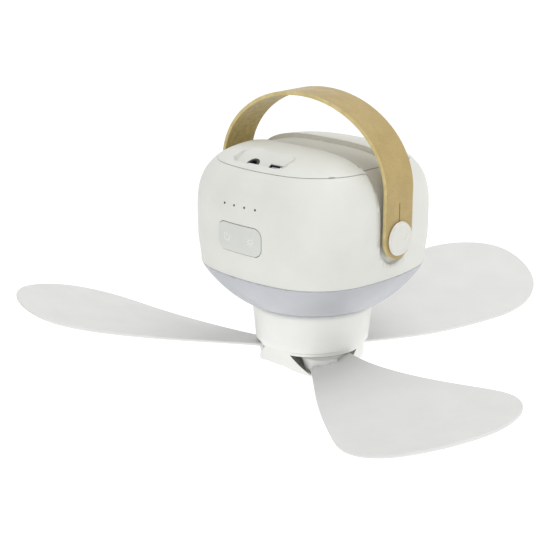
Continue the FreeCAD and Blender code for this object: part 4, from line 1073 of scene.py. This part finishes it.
@dataclass
class Keys(Builder):
    """The rocking key pad with its two raised marks.

    Attributes:
        pad_level: Height of the pad's middle.
        pad_front: Distance of its face in front of the fan's middle.
        side_radius: Radius of the face's curve.
        mark_place: Distance of each mark's centre from the pad's middle.
        mark_thick: Thickness of a mark, half of it proud of the face.
        ring_steps: Steps round a ring.
        switch_radius: Radius of the switch mark's open ring.
        switch_line: Width of the switch mark's lines.
        switch_share: Share of a full turn that its ring takes.
        switch_bar: Where its bar starts and ends.
        lamp_radius: Radius of the lamp mark's ring.
        lamp_line: Width of that ring's line.
        ray: Where a ray of the lamp mark starts and ends.
        ray_line: Width of a ray.
        ray_count: Number of rays.
    """

    pad_level: float = 25.8
    pad_front: float = 67.94
    side_radius: float = 149.2
    mark_place: float = 9.9
    mark_thick: float = 0.2
    ring_steps: int = 40
    switch_radius: float = 2.5
    switch_line: float = 0.6
    switch_share: float = 0.8
    switch_bar: tuple[float, float] = (0.4, 3.0)
    lamp_radius: float = 1.5
    lamp_line: float = 0.55
    ray: tuple[float, float] = (2.3, 3.2)
    ray_line: float = 0.5
    ray_count: int = 8

    def front(self, x: float) -> float:
        """Distance of the pad's face in front of the middle, at a place across it."""
        return self.pad_front - self.side_radius + math.sqrt(self.side_radius ** 2 - x ** 2)

    def raised(self, form: bmesh.types.BMesh, across: float, name: str) -> None:
        """Set one mark half into the pad's curved face.

        Args:
            form: The mark's closed shape round the pad's middle, which is freed.
            across: Place of its centre across the pad.
            name: The piece's name.
        """
        place = at(across, -self.front(across), self.pad_level)
        turn = Matrix.Rotation(math.asin(across / self.side_radius), 4, "Z")
        bmesh.ops.transform(form, verts=form.verts, matrix=Matrix.Translation(place) @ turn)
        bmesh.ops.recalc_face_normals(form, faces=form.faces)
        self.finish_piece(name, form, [self.palette.key_mark], "key_pad", "key_grey",
                          Shading.CRISP)

    def ring(self, radius: float, wide: float, share: float = 1.0) -> bmesh.types.BMesh:
        """A flat ring, or a part of one that is open at the top.

        Args:
            radius: Radius of its middle line.
            wide: Width of the line.
            share: Share of a full turn.

        Returns:
            The closed shape.
        """
        form = bmesh.new()
        half_gap = Matrix.Rotation(math.pi * (1 - share), 4, "Y")
        out = Matrix.Translation((0, 0, radius * MM))
        upright = Matrix.Rotation(math.pi / 2, 4, "Y")
        size = Matrix.Diagonal((wide * MM, self.mark_thick * MM, 1, 1))
        bmesh.ops.create_grid(form, x_segments=1, y_segments=1, size=0.5,
                              matrix=half_gap @ out @ upright @ size)
        bmesh.ops.delete(form, geom=form.faces[:], context="FACES_ONLY")
        bmesh.ops.spin(form, geom=form.verts[:] + form.edges[:], cent=(0, 0, 0),
                       axis=(0, 1, 0), angle=2 * math.pi * share, steps=self.ring_steps,
                       use_merge=share == 1.0)
        bmesh.ops.holes_fill(form, edges=[edge for edge in form.edges if edge.is_boundary])
        return form

    def bar(self, inner: float, outer: float, wide: float, turn: float = 0.0
            ) -> bmesh.types.BMesh:
        """A short flat bar that points away from the middle.

        Args:
            inner: Distance of its near end.
            outer: Distance of its far end.
            wide: Width of the bar.
            turn: Turn from straight up, in radians.

        Returns:
            The closed shape.
        """
        form = bmesh.new()
        place = Matrix.Translation((0, 0, (inner + outer) / 2 * MM))
        size = Matrix.Diagonal((wide * MM, self.mark_thick * MM, (outer - inner) * MM, 1))
        bmesh.ops.create_cube(form, size=1.0,
                              matrix=Matrix.Rotation(turn, 4, "Y") @ place @ size)
        return form

    def build(self) -> None:
        """Dress the pad and raise a switch mark on one side and a lamp mark on the other."""
        self.smooth_copy("key_pad")
        left, right = -self.mark_place, self.mark_place
        self.raised(self.ring(self.switch_radius, self.switch_line, self.switch_share), left,
                    "switch_mark_ring")
        self.raised(self.bar(*self.switch_bar, self.switch_line), left, "switch_mark_bar")
        self.raised(self.ring(self.lamp_radius, self.lamp_line), right, "lamp_mark_ring")
        for ray in range(self.ray_count):
            turn = 2 * math.pi * ray / self.ray_count
            self.raised(self.bar(*self.ray, self.ray_line, turn), right, f"lamp_mark_ray_{ray}")
        self.smooth_copy("indicator_lights")


@dataclass
class Light(Builder):
    """The frosted bowl of the ring light with the grey ring below it."""

    def build(self) -> None:
        """Dress the bowl and its ring."""
        self.smooth_copy("light_diffuser")
        self.smooth_copy("diffuser_ring")


@dataclass
class Neck(Builder):
    """The white neck that hangs below the light, in a lighter white that holds painted light."""

    def build(self) -> None:
        """Dress the neck in the lighter white with painted light."""
        self.smooth_copy("motor_neck", self.palette.neck_white)


@dataclass
class Rotor(Builder):
    """The carrier and cap that hold the blades, with their pins, screws and nut; the carrier and
    cap take the lighter white with painted light.
    """

    white: tuple[str, ...] = ("blade_carrier", "rotor_cap")
    hardware: tuple[str, ...] = ("blade_pins", "cap_screws", "shaft_nut", "motor_shaft")

    def build(self) -> None:
        """Dress the turning pieces."""
        for node in self.white:
            self.smooth_copy(node, self.palette.neck_white)
        for node in self.hardware:
            self.smooth_copy(node)


@dataclass
class Blades(Builder):
    """The three swinging blades."""

    count: int = 3

    def build(self) -> None:
        """Dress each blade."""
        for number in range(1, self.count + 1):
            self.smooth_copy(f"blade_{number}", shading=Shading.SOFT)


@dataclass
class Inside(Builder):
    """Everything inside the housing and the neck, which stays as the frame holds it."""

    nodes: tuple[str, ...] = ("button_nuts", "port_board", "led_board", "led_chips",
                              "motor_bracket", "bearings", "stator_core", "stator_coils",
                              "bracket_screws", "neck_screws", "battery_cells",
                              "battery_holder", "main_board", "housing_screws", "key_board",
                              "key_switches", "motor_can", "rotor_magnets", "shaft_clip")

    def build(self) -> None:
        """Dress each inner node."""
        for node in self.nodes:
            self.dress_node(node)


@dataclass(frozen=True)
class Lamp:
    """A soft studio light.

    Attributes:
        name: The light's name.
        place: Its place in metres.
        wide: Width of its disc in metres.
        power: Power in watts.
    """

    name: str
    place: tuple[float, float, float]
    wide: float
    power: float

    def build(self, target: Vector) -> None:
        """Hang the light and point it at a target.

        Args:
            target: The place that it points at, in metres.
        """
        light = bpy.data.lights.new(self.name, "AREA")
        light.shape = "DISK"
        light.size = self.wide
        light.energy = self.power
        holder = bpy.data.objects.new(self.name, light)
        holder.location = self.place
        holder.rotation_mode = "QUATERNION"
        holder.rotation_quaternion = (target - Vector(self.place)).to_track_quat("-Z", "Y")
        bpy.context.scene.collection.objects.link(holder)


@dataclass
class Studio:
    """Pale floor, soft light and the camera at the photograph's angle.

    Attributes:
        palette: The finishes.
        camera_place: The camera's place in metres.
        camera_turn: Its turn in degrees.
        focal_length: Its focal length in millimetres.
        sensor: Width of its sensor in millimetres.
        nearest: Nearest distance that it sees, in metres.
        furthest: Furthest distance that it sees, in metres.
        floor_level: Height of the floor in metres.
        floor_radius: Radius of the floor in metres.
        floor_steps: Sides of the floor's edge.
        sky: Strength of the even white surrounding.
        lamp_target: The place that the lamps point at, in metres.
        lamps: The lamps.
    """

    palette: Palette
    camera_place: tuple[float, float, float] = (0.5154, -0.5765, 0.1336)
    camera_turn: tuple[float, float, float] = (71.67, 0.0, 43.37)
    focal_length: float = 80.0
    sensor: float = 36.0
    nearest: float = 0.01
    furthest: float = 200.0
    floor_level: float = -0.52
    floor_radius: float = 60.0
    floor_steps: int = 96
    sky: float = 0.8
    lamp_target: tuple[float, float, float] = (0.0, 0.0, -0.08)
    lamps: tuple[Lamp, ...] = (
        Lamp("key_light", (1.3, -1.1, 0.6), 0.9, 2.4),
        Lamp("low_light", (0.9, -1.2, -0.45), 0.5, 2.0),
        Lamp("top_light", (0.3, 0.3, 1.8), 1.6, 13.0),
    )

    def build_camera(self) -> None:
        """Set the camera at the photograph's place."""
        data = bpy.data.cameras.new("camera")
        data.sensor_width = self.sensor
        data.lens = self.focal_length
        data.clip_start = self.nearest
        data.clip_end = self.furthest
        camera = bpy.data.objects.new("camera", data)
        camera.location = self.camera_place
        camera.rotation_euler = [math.radians(angle) for angle in self.camera_turn]
        bpy.context.scene.collection.objects.link(camera)
        bpy.context.scene.camera = camera

    def build_floor(self) -> None:
        """Lay a wide pale floor below the hanging fan."""
        form = bmesh.new()
        bmesh.ops.create_circle(form, cap_ends=True, segments=self.floor_steps,
                                radius=self.floor_radius,
                                matrix=Matrix.Translation((0, 0, self.floor_level)))
        floor = stood_up("floor", form)
        floor.data.materials.append(self.palette.floor.material())

    def build_light(self) -> None:
        """Set an even white surrounding and the soft lamps."""
        world = bpy.data.worlds.new("studio")
        world.use_nodes = True
        background = world.node_tree.nodes["Background"]
        background.inputs["Color"].default_value = WHITE
        background.inputs["Strength"].default_value = self.sky
        bpy.context.scene.world = world
        for lamp in self.lamps:
            lamp.build(Vector(self.lamp_target))
        bpy.context.scene.view_settings.view_transform = "Standard"

    def build(self) -> None:
        """Set up the whole studio."""
        self.build_camera()
        self.build_floor()
        self.build_light()


def main() -> None:
    """Build the studio and every sub-assembly in order."""
    logging.basicConfig(level=logging.INFO, format="%(message)s")
    palette = Palette()
    Studio(palette).build()
    for assembly in (Strap, Housing, Keys, Light, Neck, Rotor, Blades, Inside):
        assembly(palette).build()
        log.info("finished %s", assembly.__name__)


if __name__ == "__main__":
    main()
